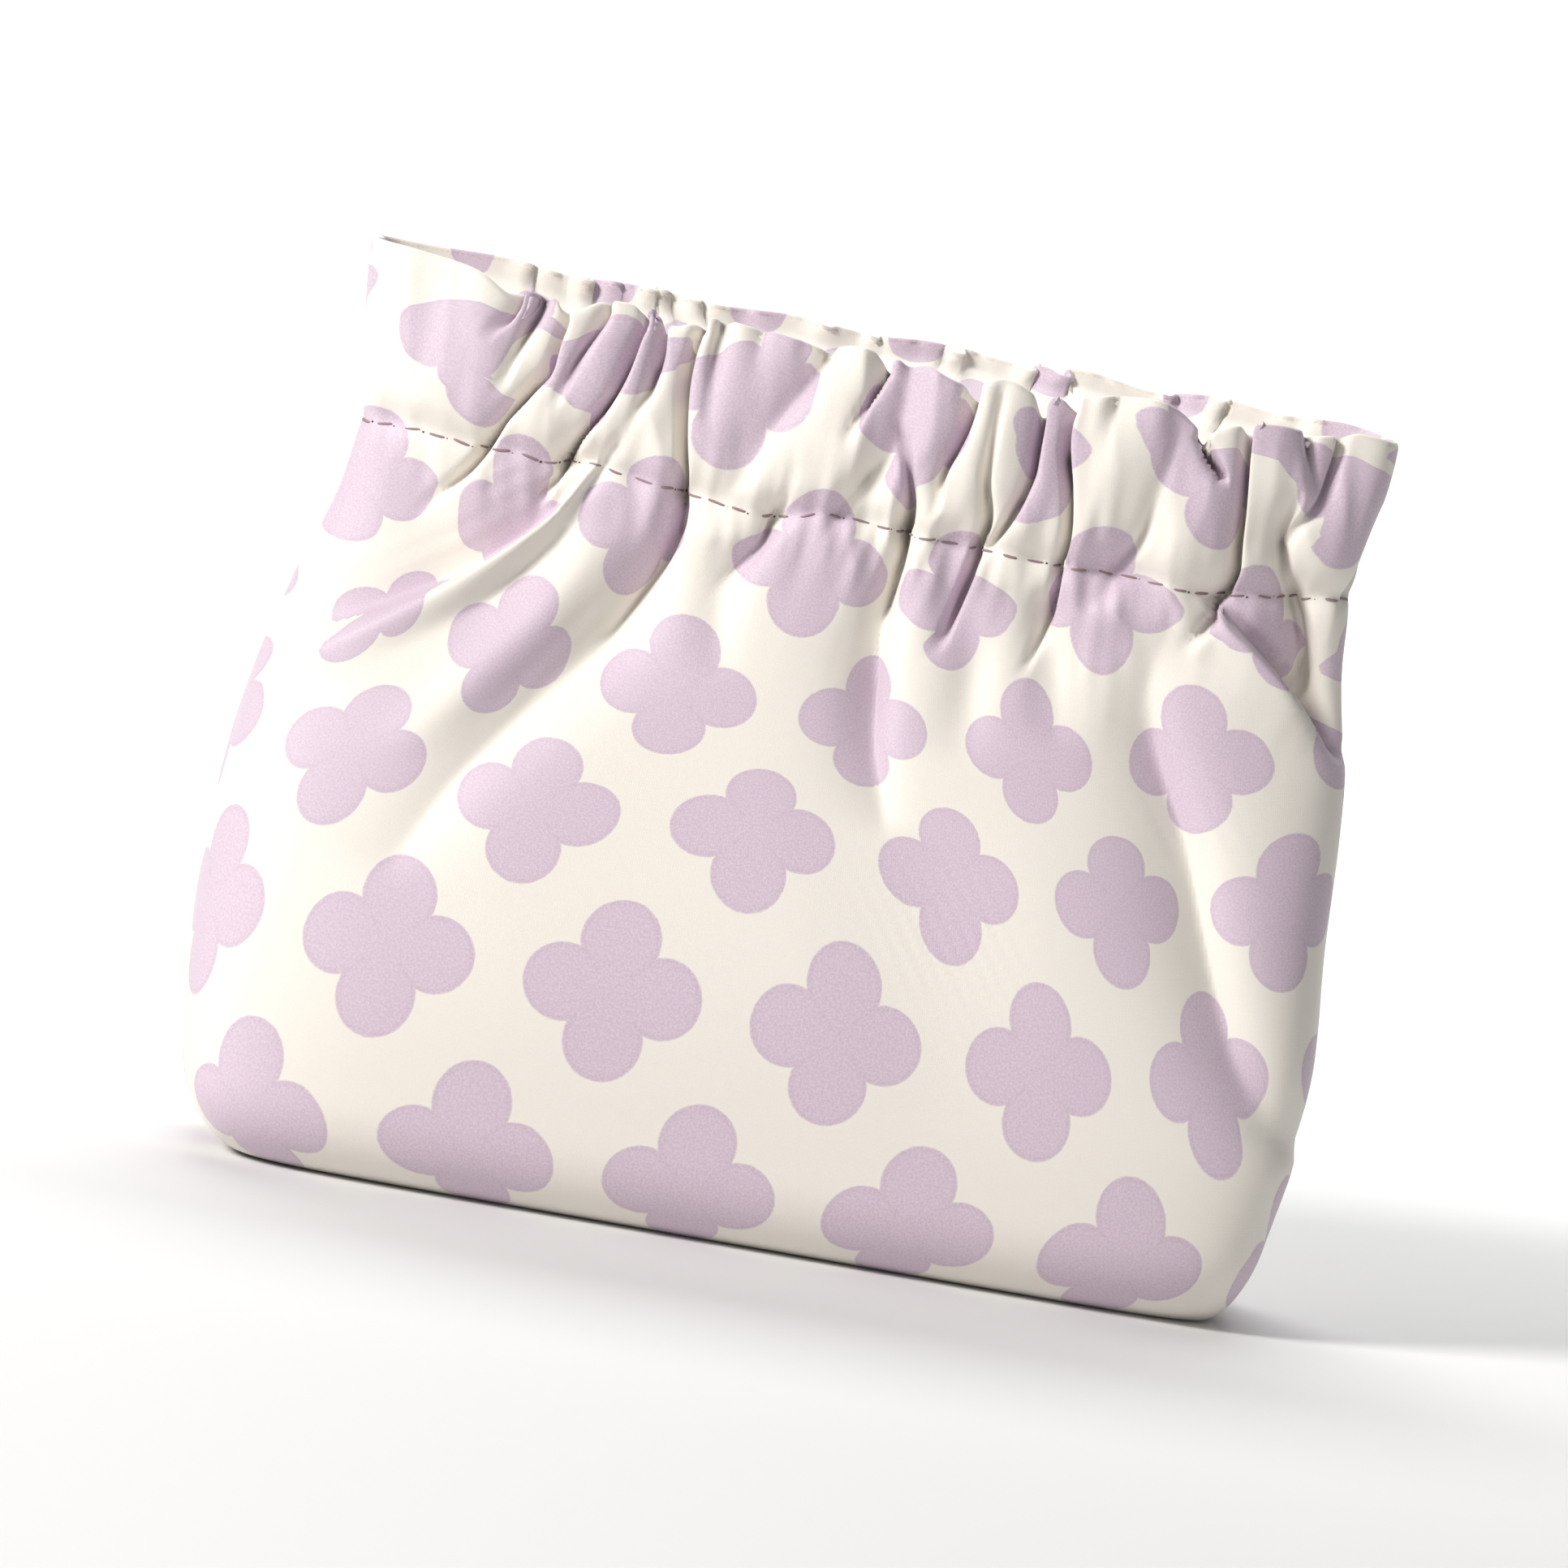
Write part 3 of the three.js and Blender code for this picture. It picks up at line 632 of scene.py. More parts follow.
@dataclass
class ClothPanel:
    """One printed panel, from the base's centre seam to the hem inside the mouth.

    columns, samples: points across the panel, and along a section that is traced for it.
    crest_height: where the wall ends and the turn over the rim begins.
    rim_loop, rim_rise: how wide and how high the turn is. rim_rows: its rows of points.
    rim_smoothing: the columns to each side that even out the way it turns.
    hem_rows: the hem's rows of points. hem_turn: the share of its height in which it turns in.
    row_reach: how far the lengths of nearby rows are shared.
    groove: depth of the stitch line. seam_dent: depth of the side seam.
    painted_shade_depth_reach: columns to each side that a point's depth is compared with, for
    painted shade.
    corner_tuck: how much less the base's right corner is rounded.
    """

    side: Side
    sizes: PouchSizes
    look: PanelLook
    columns: int = 561
    samples: int = 3200
    crest_height: float = 108.2
    rim_loop: float = 1.0
    rim_rise: float = 0.8
    rim_rows: int = 8
    rim_smoothing: int = 7
    hem_rows: int = 22
    hem_turn: float = 0.3
    row_reach: float = 4.5
    groove: float = 0.5
    seam_dent: float = 0.8
    painted_shade_depth_reach: int = 8
    corner_tuck: float = 0.45

    def __post_init__(self) -> None:
        """Sets the heights of the wall's and the casing's rows."""
        sizes = self.sizes
        lower = np.linspace(sizes.edge_radius, 30, 14, endpoint=False)
        middle = np.linspace(30, 84, 60, endpoint=False)
        upper = np.linspace(84, self.crest_height, 38)
        self.heights = np.concatenate([lower, middle, upper])
        self.bands = (len(lower), len(middle), len(upper))
        self.shares = np.linspace(0, 1, self.columns)
        self.mirror = 1 if self.side is Side.FRONT else -1

    def build(self) -> bpy.types.Object:
        """Makes the panel's mesh, with a map of the flat cloth.

        Returns:
            The panel's object, with its thickness as a modifier.
        """
        self.wall = wall = self._settled_wall()
        rim, hem = self._rim_and_hem(wall[-1])
        edge, base = self._edge_and_base(wall[0], wall[1])
        rows = np.concatenate([base, edge, wall, rim, hem])
        cloth_map = self._cloth_map(rows, len(base) + len(edge), len(wall))
        lower, middle, upper = self.bands
        strides = np.repeat((4, 2, 1, 4), (len(base) + len(edge) + lower, middle,
                                           upper + len(rim), len(hem)))
        # How deep each point lies in a crease, which the material darkens as painted shade.
        painted_shade_depth = self._painted_shade_depth(wall)
        painted_shade_depth = np.pad(painted_shade_depth, ((len(base) + len(edge), len(rim)), (0, 0)), mode="edge")
        painted_shade_depth = np.pad(painted_shade_depth, ((0, len(hem)), (0, 0)))
        piece = grid_object(f"{self.side.word}_cloth", self.to_world(rows), cloth_map,
                            strides, painted_shade_depth)
        solid = piece.modifiers.new("thickness", "SOLIDIFY")
        solid.thickness = self.sizes.cloth * MM
        solid.offset = -1.0
        solid.use_even_offset = False
        return piece

    def to_world(self, points: Array) -> Array:
        """Turns (x, depth, z) points of the panel into metres on its side of the pouch."""
        facing = self.side.value
        x, depth, z = np.moveaxis(points, -1, 0)
        return np.stack([-facing * x, facing * depth, z], axis=-1) * MM

    def _relief(self, x: Array, z: Array, seam_distance: Array) -> tuple[Array, Array, Array]:
        """How far the cloth stands out, is pushed sideways and is sunk, at (x, z).

        The casing's ridges stand out by one height, and the creases are cut into them, down
        to a lowest depth that leaves the springs their room. Fine noise, pinched noise (one
        less twice a noise's size), ripples, the stitch line's groove and a slow sway are
        laid over them. Near the side seams all of it dies out.
        """
        sizes = self.sizes
        gathered = smooth_curve(self.mirror * x, *np.transpose(GATHER_ACROSS))
        height = smooth_curve(z, *np.transpose(GATHER_UP))
        ridge = sizes.ridge * gathered * height
        out = ridge.copy()
        aside = np.zeros_like(out)
        kept = 1 - self.look.rim_calm * ease((z - 101) / 7)
        for crease in self.look.creases:
            depth, push = crease.relief(x, z)
            out = out - depth * kept
            aside = aside + push * kept
        lowest = smooth_curve(z, *np.transpose(LOWEST))
        out = out + np.maximum(0, lowest - out) * ease((z - 80) / 6)

        seed = self.look.seed
        near_stitch = np.exp(-((z - 89.5) / 7.0) ** 2)
        near_rim = ease((z - 101) / 6)
        fine = smooth_noise(x, z, (2.3, 9.0), seed)
        fine = fine + 0.5 * smooth_noise(x, z, (1.3, 6.0), seed + 1)
        amount = (0.08 + 0.36 * near_stitch + 0.12 * near_rim) * gathered * ease((z - 60) / 25)
        out = out + fine * amount
        pinched = 1 - 2 * np.abs(smooth_noise(x + 0.15 * z, z, (4.2, 13.0), seed + 4))
        out = out + pinched * 0.3 * gathered * ease((z - 74) / 14)
        for ripple in RIPPLES:
            out = out + ripple.relief(self.mirror * x, z)
        out = out - self.groove * np.exp(-((z - sizes.stitch_height) / 0.9) ** 2)
        slack = smooth_noise(x + 0.4 * z, z, (17.0, 24.0), seed + 2)
        out = out + slack * 0.5 * ease((z - 10) / 20) * ease((92 - z) / 10)
        sunk = (ridge - out) * gathered
        seam = np.exp(-(seam_distance / 0.9) ** 2)
        calm = ease(seam_distance / 6.0)
        seam = seam * ease((z - sizes.edge_radius) / 12)
        return out * calm - self.seam_dent * seam, aside * calm, sunk

    def _draped_wall(self) -> Array:
        """The wall and casing as they are before they settle, with the photo's creases.

        The relief is laid on each section, and the row that comes out is divided evenly by
        its length, as the cloth's threads are. The lengths are a mean over the rows near it,
        weighted as e to the minus (height between them / reach) ** 2.
        """
        sizes = self.sizes
        z = self.heights
        section = Section.at(sizes, z, self.samples)
        section = replace(section, x=section.x + self.mirror * sizes.shift(z[:, None]))
        length = row_lengths(np.stack([section.x, section.depth], axis=-1))
        seam_distance = np.minimum(length, length[:, -1:] - length)
        out, aside, sunk = self._relief(section.x, z[:, None], seam_distance)
        x = section.x + section.out[0] * out + section.across[0] * aside
        depth = section.depth + section.out[1] * out + section.across[1] * aside
        stitch = smooth_curve(x, *np.transpose(self.look.stitches)) - sizes.stitch_height
        rim = smooth_curve(x, *np.transpose(self.look.rim)) - self.rim_rise - self.heights[-1]
        level = z[:, None]
        lift = stitch * np.exp(-((level - sizes.stitch_height) / 7.0) ** 2)
        near_rim = ease((level - 94) / (self.heights[-1] - 94))
        lift = lift + (rim - 0.5 * np.clip(sunk - 1.5, 0, 6)) * near_rim
        points = np.stack([x, depth, level + lift], axis=-1)
        length = row_lengths(points)
        self.widths = length[:, -1]
        nearby = np.exp(-((level - z) / self.row_reach) ** 2) * np.gradient(z)
        share = (nearby / nearby.sum(axis=1, keepdims=True)) @ (length / length[:, -1:])
        wanted = np.broadcast_to(self.shares, (len(z), self.columns))
        self.print_column = read_rows(wanted, share, self._print_columns(section, length))
        hidden = sum(crease.hidden_print(section.x, level) for crease in self.look.creases
                     if crease.hidden)
        self.print_hidden = read_rows(wanted, share, hidden)
        return np.stack([read_rows(wanted, share, points[..., k]) for k in range(3)], -1)

    def _print_columns(self, section: Section, length: Array) -> Array:
        """Which column of the print lies at each place of each row of cloth.

        The photograph gives x for seven columns of the print at some heights. Between them
        the cloth's own length decides, and so does it at the two ends.

        Args:
            section: the sections before the relief is laid on them.
            length: places along the rows after it.

        Returns:
            The column, where 0 is the leftmost of the seven and a step of 1 is the pitch.
        """
        heights = [row[0] for row in PRINT_COLUMNS]
        marks = np.array([row[1:] for row in PRINT_COLUMNS])
        if self.mirror < 0:
            marks = -marks[:, ::-1]
        marks = np.stack([smooth_curve(self.heights, heights, mark) for mark in marks.T], -1)
        reach = np.maximum(np.diff(section.x, axis=1), 0.6 * length[:, -1:] / self.samples)
        plain = np.cumsum(np.concatenate([0 * length[:, :1], reach], axis=1), axis=1)
        plain -= plain[:, [self.samples // 2]]
        plain += self.mirror * self.sizes.shift(self.heights)[:, None]
        marks = read_rows(marks, plain, length)
        wide = np.array([1.5, 3]) * PRINT.column_pitch
        even = np.array([1, 2]) * PRINT.column_pitch
        left, right = (wide, even) if self.mirror > 0 else (even, wide)
        marks = np.concatenate([marks[:, :1] - left[::-1], marks, marks[:, -1:] + right], axis=1)
        fine = np.linspace(0, marks.shape[1] - 1, 400) + 0 * marks[:, :1]
        column = read_rows(length, through_columns(marks, fine), fine - 2)
        return column if self.mirror > 0 else len(PRINT_COLUMNS[0]) - 2 - column

    def _settled_wall(self) -> Array:
        """The wall and casing after the cloth has settled into its own width."""
        sizes = self.sizes
        start = self._draped_wall()
        down = np.sqrt((np.diff(start, axis=0) ** 2).sum(-1))
        relaxer = ClothRelaxer(
            across=1.005 * np.sqrt((np.diff(start, axis=1) ** 2).sum(-1)),
            along=0.3 * np.median(down, axis=1)[:, None] + 0.7 * down,
            passes=60,
        )
        free = np.ones(start.shape[:2])
        free[:, [0, -1]] = 0
        free[0] = 0
        free[-1] = 0.25
        level = self.heights[:, None]
        free *= 1 - 0.6 * np.exp(-((level - sizes.stitch_height) / 0.8) ** 2)
        x = start[..., 0] - self.mirror * sizes.shift(level)
        pocket = sizes.slot_half(x) + sizes.spring_stack + 0.4 + sizes.cloth
        casing = ease((level - sizes.stitch_height) / 2)
        floor = np.where(level > sizes.stitch_height, pocket * casing, 0) + sizes.seam_face
        floor[:, :12] = floor[:, -12:] = sizes.seam_face
        log.info("%s rows measure %.1f to %.1f mm, and %.1f mm at the casing", self.side.word,
                 self.widths.min(), self.widths.max(), self.widths[-20])
        return relaxer.settle(start, free, floor)

    def _rim_and_hem(self, crest: Array) -> tuple[Array, Array]:
        """The cloth's turn over the rim, and the hem down inside the mouth.

        The rim is a narrow loop of cloth that keeps to the crest's own waves. Below it the
        hem turns in, loses the waves and lies flat along the mouth's slot.
        """
        sizes = self.sizes
        flow = np.gradient(crest[:, :2], axis=0)
        flow /= np.hypot(flow[:, 0], flow[:, 1])[:, None]
        inward = np.stack([flow[:, 1], -flow[:, 0]], axis=-1)
        kernel = np.hanning(2 * self.rim_smoothing + 1)
        kernel /= kernel.sum()
        padded = np.pad(inward, ((self.rim_smoothing,) * 2, (0, 0)), mode="edge")
        inward = np.stack([np.convolve(padded[:, k], kernel, "valid") for k in range(2)], -1)
        inward /= np.hypot(inward[:, 0], inward[:, 1])[:, None]
        inside = crest.copy()
        inside[:, :2] += inward * self.rim_loop
        inside[:, 1] = np.maximum(inside[:, 1], sizes.seam_face)

        turn = np.linspace(0, 1, self.rim_rows + 2)[1:-1, None, None]
        swing = (1 - np.cos(np.pi * turn)) / 2
        rim = crest[None] * (1 - swing) + inside[None] * swing
        rim[..., 2] += self.rim_rise * np.sin(np.pi * turn[..., 0])

        bottom = sizes.stitch_height - sizes.hem_allowance
        fall = np.linspace(0, 1, self.hem_rows)[:, None]
        flat_x = (2 * self.shares - 1) * (sizes.mouth_width / 2 - sizes.hem_inset)
        flat_depth = sizes.slot_half(flat_x)
        settled = ease(fall / self.hem_turn)
        flat_x = flat_x + self.mirror * sizes.mouth_shift
        hem = np.stack([
            inside[:, 0] * (1 - settled) + flat_x * settled,
            inside[:, 1] * (1 - settled) + flat_depth * settled,
            inside[:, 2] + (bottom - inside[:, 2]) * fall,
        ], axis=-1)
        return rim, hem

    def _edge_and_base(self, foot: Array, above: Array) -> tuple[Array, Array]:
        """The base's rounded edge, and the half of the base up to its centre seam.

        The edge is a quarter circle that starts with the wall's own slope.
        """
        sizes = self.sizes
        bend = np.linspace(math.pi / 2, 0, 14)[:-1, None]
        curl = sizes.edge_radius * (1 - np.cos(bend))
        to_right = ease(0.5 + self.mirror * foot[:, 0] / 40)
        tuck = curl * (1 - self.corner_tuck * to_right)
        half, reach = np.abs(foot[[0, -1], 0]).min(), foot[:, 1].max()
        slope = (above - foot) / (above - foot)[:, 2:]
        slant = sizes.edge_radius * np.sin(bend) * np.cos(bend)
        x = foot[:, 0] * (1 - tuck / half) - slope[:, 0] * slant
        depth = foot[:, 1] * (1 - curl / reach) - slope[:, 1] * slant
        height = sizes.edge_radius * (1 - np.sin(bend)) + 0 * x
        edge = np.stack([x, depth, height], axis=-1)
        outline = edge[0].copy()
        centre = outline.copy()
        centre[:, 0] *= 1 - 5.0 / np.abs(outline[[0, -1], 0]).min()
        centre[:, 1] = sizes.seam_face
        centre[:, 2] = 0.35
        inwards = np.linspace(1, 0, 9)[:-1, None, None]
        base = outline[None] * (1 - inwards) + centre[None] * inwards
        base[1:, :, 2] = 0.0
        return edge, base

    def _painted_shade_depth(self, wall: Array) -> Array:
        """How much deeper each point lies than the cloth to its left and right, for painted
        shade.

        The cloth beside it is a weighted mean of the row, in the shape of a Hann window.
        """
        reach = self.painted_shade_depth_reach
        window = np.hanning(2 * reach + 1)
        padded = np.pad(wall[..., 1], ((0, 0), (reach, reach)), mode="edge")
        shifts = range(2 * reach + 1)
        mean = sum(window[k] * padded[:, k:k + self.columns] for k in shifts) / window.sum()
        painted_shade_depth = np.maximum(mean - wall[..., 1], 0)
        return painted_shade_depth * ease(np.minimum(self.shares, 1 - self.shares) * 25)

    def _cloth_map(self, rows: Array, start: int, wall_count: int) -> Array:
        """Where each point lies in the flat cloth, in millimetres, for the print.

        On the wall the print's columns and rows follow the photograph. Below it and past
        the rim, where nothing of it shows there, the rows go on by the cloth's length.
        """
        column = np.concatenate([np.repeat(self.print_column[:1], start, axis=0),
                                 self.print_column])
        column = np.pad(column, ((0, len(rows) - len(column)), (0, 0)), mode="edge")
        heights = [row[0] for row in PRINT_LIFTS]
        lifts = [smooth_curve(self.heights, heights, lift)
                 for lift in np.array([row[1:] for row in PRINT_LIFTS]).T]
        place = np.clip(self.print_column, -0.5, len(lifts) - 0.5)
        lift = through_columns(np.stack(lifts, axis=-1), place)
        middle = rows[:, self.columns // 3:2 * self.columns // 3]
        steps = np.sqrt((np.diff(middle, axis=0) ** 2).sum(-1)).mean(1)
        length = np.concatenate([[0], np.cumsum(steps)])[:, None]
        height = np.zeros(rows.shape[:2])
        top = start + wall_count - 1
        height[start:top + 1] = PRINT.row_pitch * smooth_curve(
            self.heights[:, None] - lift, PRINT_HEIGHTS, PRINT_ROWS)
        height[:start] = height[start] - (length[start] - length[:start])
        height[top:] = height[top] + (length[top:] - length[top])
        across = PRINT.first_column + column * PRINT.column_pitch
        height[start:top + 1] += self.print_hidden
        return np.stack([across, height], axis=-1)


def row_lengths(points: Array) -> Array:
    """Lengths along each row of points, from 0 at its first point."""
    steps = np.sqrt((np.diff(points, axis=1) ** 2).sum(-1))
    return np.concatenate([np.zeros((len(points), 1)), np.cumsum(steps, axis=1)], axis=1)


def grid_object(name: str, points: Array, cloth_map: Array, strides: Array | None = None,
                painted_shade_depth: Array | None = None) -> bpy.types.Object:
    """Makes an object from a grid of points, with faces that look out of the cloth.

    A row that needs less detail keeps only every second or every fourth point. Between it
    and its finer neighbour each face has the finer row's middle point as a fifth corner.

    Args:
        name: the object's name.
        points: the grid's points in metres, rows going up and columns to the right.
        cloth_map: each point's place in the flat cloth.
        strides: which points each row keeps: 1 for all of them, 2 or 4.
        painted_shade_depth: how deep in a crease each point lies, in millimetres, for painted
            shade.

    Returns:
        The object, linked to the scene, with a UV map named Cloth.
    """
    rows, columns = points.shape[:2]
    strides = np.ones(rows, dtype=int) if strides is None else strides
    index = np.arange(rows * columns).reshape(rows, columns)
    faces = []
    for low, high, fine, coarse in zip(index, index[1:], strides, strides[1:]):
        step = max(fine, coarse)
        corners = [low[:-1:step], low[step::step], high[step::step], high[:-1:step]]
        if step > fine:
            corners.insert(1, low[step // 2::step])
        if step > coarse:
            corners.insert(3, high[step // 2::step])
        faces += np.stack(corners, -1).tolist()
    used, corner = np.unique(np.concatenate(faces), return_inverse=True)
    edges = np.cumsum([len(face) for face in faces])[:-1]
    faces = [part.tolist() for part in np.split(corner, edges)]
    mesh = bpy.data.meshes.new(name)
    mesh.from_pydata(points.reshape(-1, 3)[used].tolist(), [], faces)
    layer = mesh.uv_layers.new(name="Cloth")
    flat = cloth_map.reshape(-1, 2)[used][corner].astype(np.float32)
    layer.uv.foreach_set("vector", flat.ravel())
    # The crease depths, kept for the painted shade in the cloth's material.
    if painted_shade_depth is not None:
        depths = mesh.attributes.new("Cavity", "FLOAT", "POINT")
        depths.data.foreach_set("value", painted_shade_depth.ravel()[used].astype(np.float32))
    mesh.shade_smooth()
    piece = bpy.data.objects.new(name, mesh)
    bpy.context.scene.collection.objects.link(piece)
    return piece


@dataclass(frozen=True)
class QuatrefoilPrint:
    """The print: rows of four-petalled figures, every other row half a step along.

    Lengths are in millimetres of flat cloth. first is where one figure's middle lies.
    """

    column_pitch: float = 27.4
    row_pitch: float = 21.6
    petal_radius: float = 4.75
    petal_offset: float = 5.95
    heart_radius: float = 3.4
    first_column: float = -86.2


PRINT = QuatrefoilPrint()
PRINT_COLUMNS = (
    (8.4, -81, -59.5, -32, -4.6, 22.6, 49.6, 70),
    (28.0, -79, -58.5, -31.8, -4, 22.8, 45.8, 66),
    (49.0, -75, -54.6, -31, -4.2, 20, 40.6, 61),
    (66.5, -63.5, -46.5, -27.5, -4, 16.5, 36.5, 60),
    (84.8, -57.5, -39.5, -22.8, -2.8, 14.6, 32.1, 51.4),
    (103.8, -58.5, -42, -23.5, -3.5, 15, 31, 49.7),
    (112.0, -58.5, -42, -23.5, -3.5, 15, 31, 49.7),
)
PRINT_LIFTS = (
    (8.4, 0, 0, 0, 0, 0, 0, 0),
    (28.0, 3.0, 2.3, 1.5, 0.8, 0, 1.2, 4.4),
    (49.0, 4.0, 3.2, 0, 2.1, 0, 0.4, 2.8),
    (66.5, 4.0, 1.2, -1.0, -1.4, -1.2, -0.8, 3.4),
    (84.8, -2.4, -2.6, -1.4, -1.5, -3.8, 1.0, -1.2),
    (103.8, -2.0, -0.8, -0.6, -1.4, -0.4, 0, 0),
    (112.0, -2.0, -0.8, -0.6, -1.4, -0.4, 0, 0),
)
PRINT_HEIGHTS = (6.4, 28.0, 49.0, 66.5, 84.8, 103.8, 110.0)
PRINT_ROWS = (0.0, 1.0, 2.0, 3.0, 4.0, 5.0, 5.31)


@dataclass
class NodeSketch:
    """A short way to write a material's nodes."""

    tree: bpy.types.NodeTree

    def add(self, kind: str, inputs: dict | None = None, **settings: object) -> bpy.types.Node:
        """Adds a node, sets its settings, and sets or links its inputs."""
        node = self.tree.nodes.new(kind)
        for key, value in settings.items():
            setattr(node, key, value)
        for key, value in (inputs or {}).items():
            if isinstance(value, bpy.types.NodeSocket):
                self.tree.links.new(value, node.inputs[key])
            else:
                node.inputs[key].default_value = value
        return node

    def math(self, operation: str, *values: object) -> bpy.types.NodeSocket:
        """A Math node's result."""
        inputs = dict(enumerate(values))
        return self.add("ShaderNodeMath", inputs, operation=operation).outputs[0]

    def vector(self, operation: str, *values: object) -> bpy.types.Node:
        """A Vector Math node."""
        return self.add("ShaderNodeVectorMath", dict(enumerate(values)), operation=operation)

    def ramp(self, value: bpy.types.NodeSocket, low: float, high: float, to_low: float,
             to_high: float) -> bpy.types.NodeSocket:
        """A smooth Map Range from low..high to to_low..to_high."""
        inputs = {"Value": value, "From Min": low, "From Max": high,
                  "To Min": to_low, "To Max": to_high}
        node = self.add("ShaderNodeMapRange", inputs, interpolation_type="SMOOTHSTEP")
        return node.outputs["Result"]

    def blend(self, factor: object, first: object, second: object,
              mode: str = "MIX") -> bpy.types.NodeSocket:
        """A colour Mix node's result."""
        node = self.add("ShaderNodeMix", data_type="RGBA", blend_type=mode)
        for socket, value in ((0, factor), (6, first), (7, second)):
            if isinstance(value, bpy.types.NodeSocket):
                self.tree.links.new(value, node.inputs[socket])
            else:
                node.inputs[socket].default_value = value
        return node.outputs[2]


def new_material(name: str) -> tuple[bpy.types.Material, NodeSketch, bpy.types.Node]:
    """A new material with only a Principled shader and an output.

    Returns:
        The material, a sketch of its nodes, and the shader.
    """
    material = bpy.data.materials.new(name)
    material.use_nodes = True
    material.node_tree.nodes.clear()
    sketch = NodeSketch(material.node_tree)
    shader = sketch.add("ShaderNodeBsdfPrincipled")
    sketch.add("ShaderNodeOutputMaterial", {"Surface": shader.outputs[0]})
    return material, sketch, shader


@dataclass(frozen=True)
class PrintedCloth:
    """Cream polyester with a silky face, printed with lavender quatrefoils; its creases get
    painted shade.
    """

    cream: Colour = (0.81, 0.76, 0.69, 1)
    cream_grain: Colour = (0.86, 0.82, 0.76, 1)
    lavender: Colour = (0.59, 0.465, 0.555, 1)
    lavender_grain: Colour = (0.86, 0.81, 0.85, 1)
    outline: Colour = (0.45, 0.345, 0.41, 1)
    # painted shade: the near-black brown that the cloth's colour is drawn towards deep in a
    # crease
    depths: Colour = (0.08, 0.045, 0.042, 1)
    roughness: float = 0.52
    sheen: float = 0.25
    wobble: float = 0.16

    def material(self) -> bpy.types.Material:
        """Makes the cloth's material, which reads the flat cloth's map and paints shade in the
        creases.
        """
        material, sketch, shader = new_material("printed_cloth")
        place = sketch.add("ShaderNodeUVMap", uv_map="Cloth").outputs[0]
        wobble = sketch.add("ShaderNodeTexNoise", {"Vector": place, "Scale": 1.5, "Detail": 1.0})
        shift = sketch.vector("SUBTRACT", wobble.outputs["Color"], (0.5, 0.5, 0.5)).outputs[0]
        shift = sketch.vector("SCALE", shift)
        shift.inputs["Scale"].default_value = self.wobble
        drawn = sketch.vector("ADD", place, shift.outputs[0]).outputs[0]
        edge = self._figure_edge(sketch, drawn)

        inside = sketch.ramp(edge, -0.14, 0.14, 1.0, 0.0)
        from_rim = sketch.math("ABSOLUTE", sketch.math("ADD", edge, 0.35))
        rim = sketch.ramp(from_rim, 0.0, 0.55, 1.0, 0.0)
        grain = sketch.add("ShaderNodeTexNoise", {"Vector": place, "Scale": 3.2, "Detail": 3.0,
                                                  "Roughness": 0.7}).outputs["Fac"]
        speckle = sketch.ramp(grain, 0.38, 0.64, 0.0, 1.0)
        ink = sketch.blend(sketch.math("MULTIPLY", rim, 0.22), self.lavender, self.outline)
        pale = sketch.blend(0.36, ink, self.lavender_grain)
        ink = sketch.blend(sketch.math("MULTIPLY", speckle, 0.75), ink, pale)
        ground = sketch.blend(sketch.math("MULTIPLY", speckle, 0.25), self.cream,
                              self.cream_grain)
        colour = sketch.blend(inside, ground, ink)
        # Painted shade: the colour darkens towards near-black brown where the cloth lies deep in
        # a crease.
        painted_shade_depth = sketch.add("ShaderNodeAttribute", attribute_name="Cavity").outputs["Fac"]
        shade = sketch.ramp(painted_shade_depth, 0.12, 0.95, 0.0, 0.96)
        colour = sketch.blend(shade, colour, sketch.blend(1.0, colour, self.depths, "MULTIPLY"))
        sketch.tree.links.new(colour, shader.inputs["Base Color"])
        shader.inputs["Roughness"].default_value = self.roughness
        shader.inputs["Sheen Weight"].default_value = self.sheen
        shader.inputs["Sheen Roughness"].default_value = 0.45
        shader.inputs["Specular IOR Level"].default_value = 0.35
        self._weave(sketch, shader, place, grain)
        return material

    def _figure_edge(self, sketch: NodeSketch,
                     place: bpy.types.NodeSocket) -> bpy.types.NodeSocket:
        """Distance to the nearest figure's outline, below zero inside it.

        A figure is four petal circles round a heart circle. Folding the place by its
        absolute value leaves one petal to the side and one above to be measured.
        """
        pitch = (PRINT.column_pitch, 2 * PRINT.row_pitch, 1.0)
        half = tuple(value / 2 for value in pitch)
        nearest = None
        for across, up in ((0.0, 0.0), (0.5, 0.5)):
            middle = (PRINT.first_column + across * pitch[0], up * pitch[1], 0.0)
            moved = sketch.vector("SUBTRACT", place, middle).outputs[0]
            wrapped = sketch.vector("WRAP", moved, half, tuple(-value for value in half))
            folded = sketch.vector("ABSOLUTE", wrapped.outputs[0]).outputs[0]
            folded = sketch.vector("MULTIPLY", folded, (1.0, 1.0, 0.0)).outputs[0]
            for centre, radius in (((PRINT.petal_offset, 0, 0), PRINT.petal_radius),
                                   ((0, PRINT.petal_offset, 0), PRINT.petal_radius),
                                   ((0, 0, 0), PRINT.heart_radius)):
                away = sketch.vector("DISTANCE", folded, centre).outputs["Value"]
                away = sketch.math("SUBTRACT", away, radius)
                nearest = away if nearest is None else sketch.math("MINIMUM", nearest, away)
        return nearest

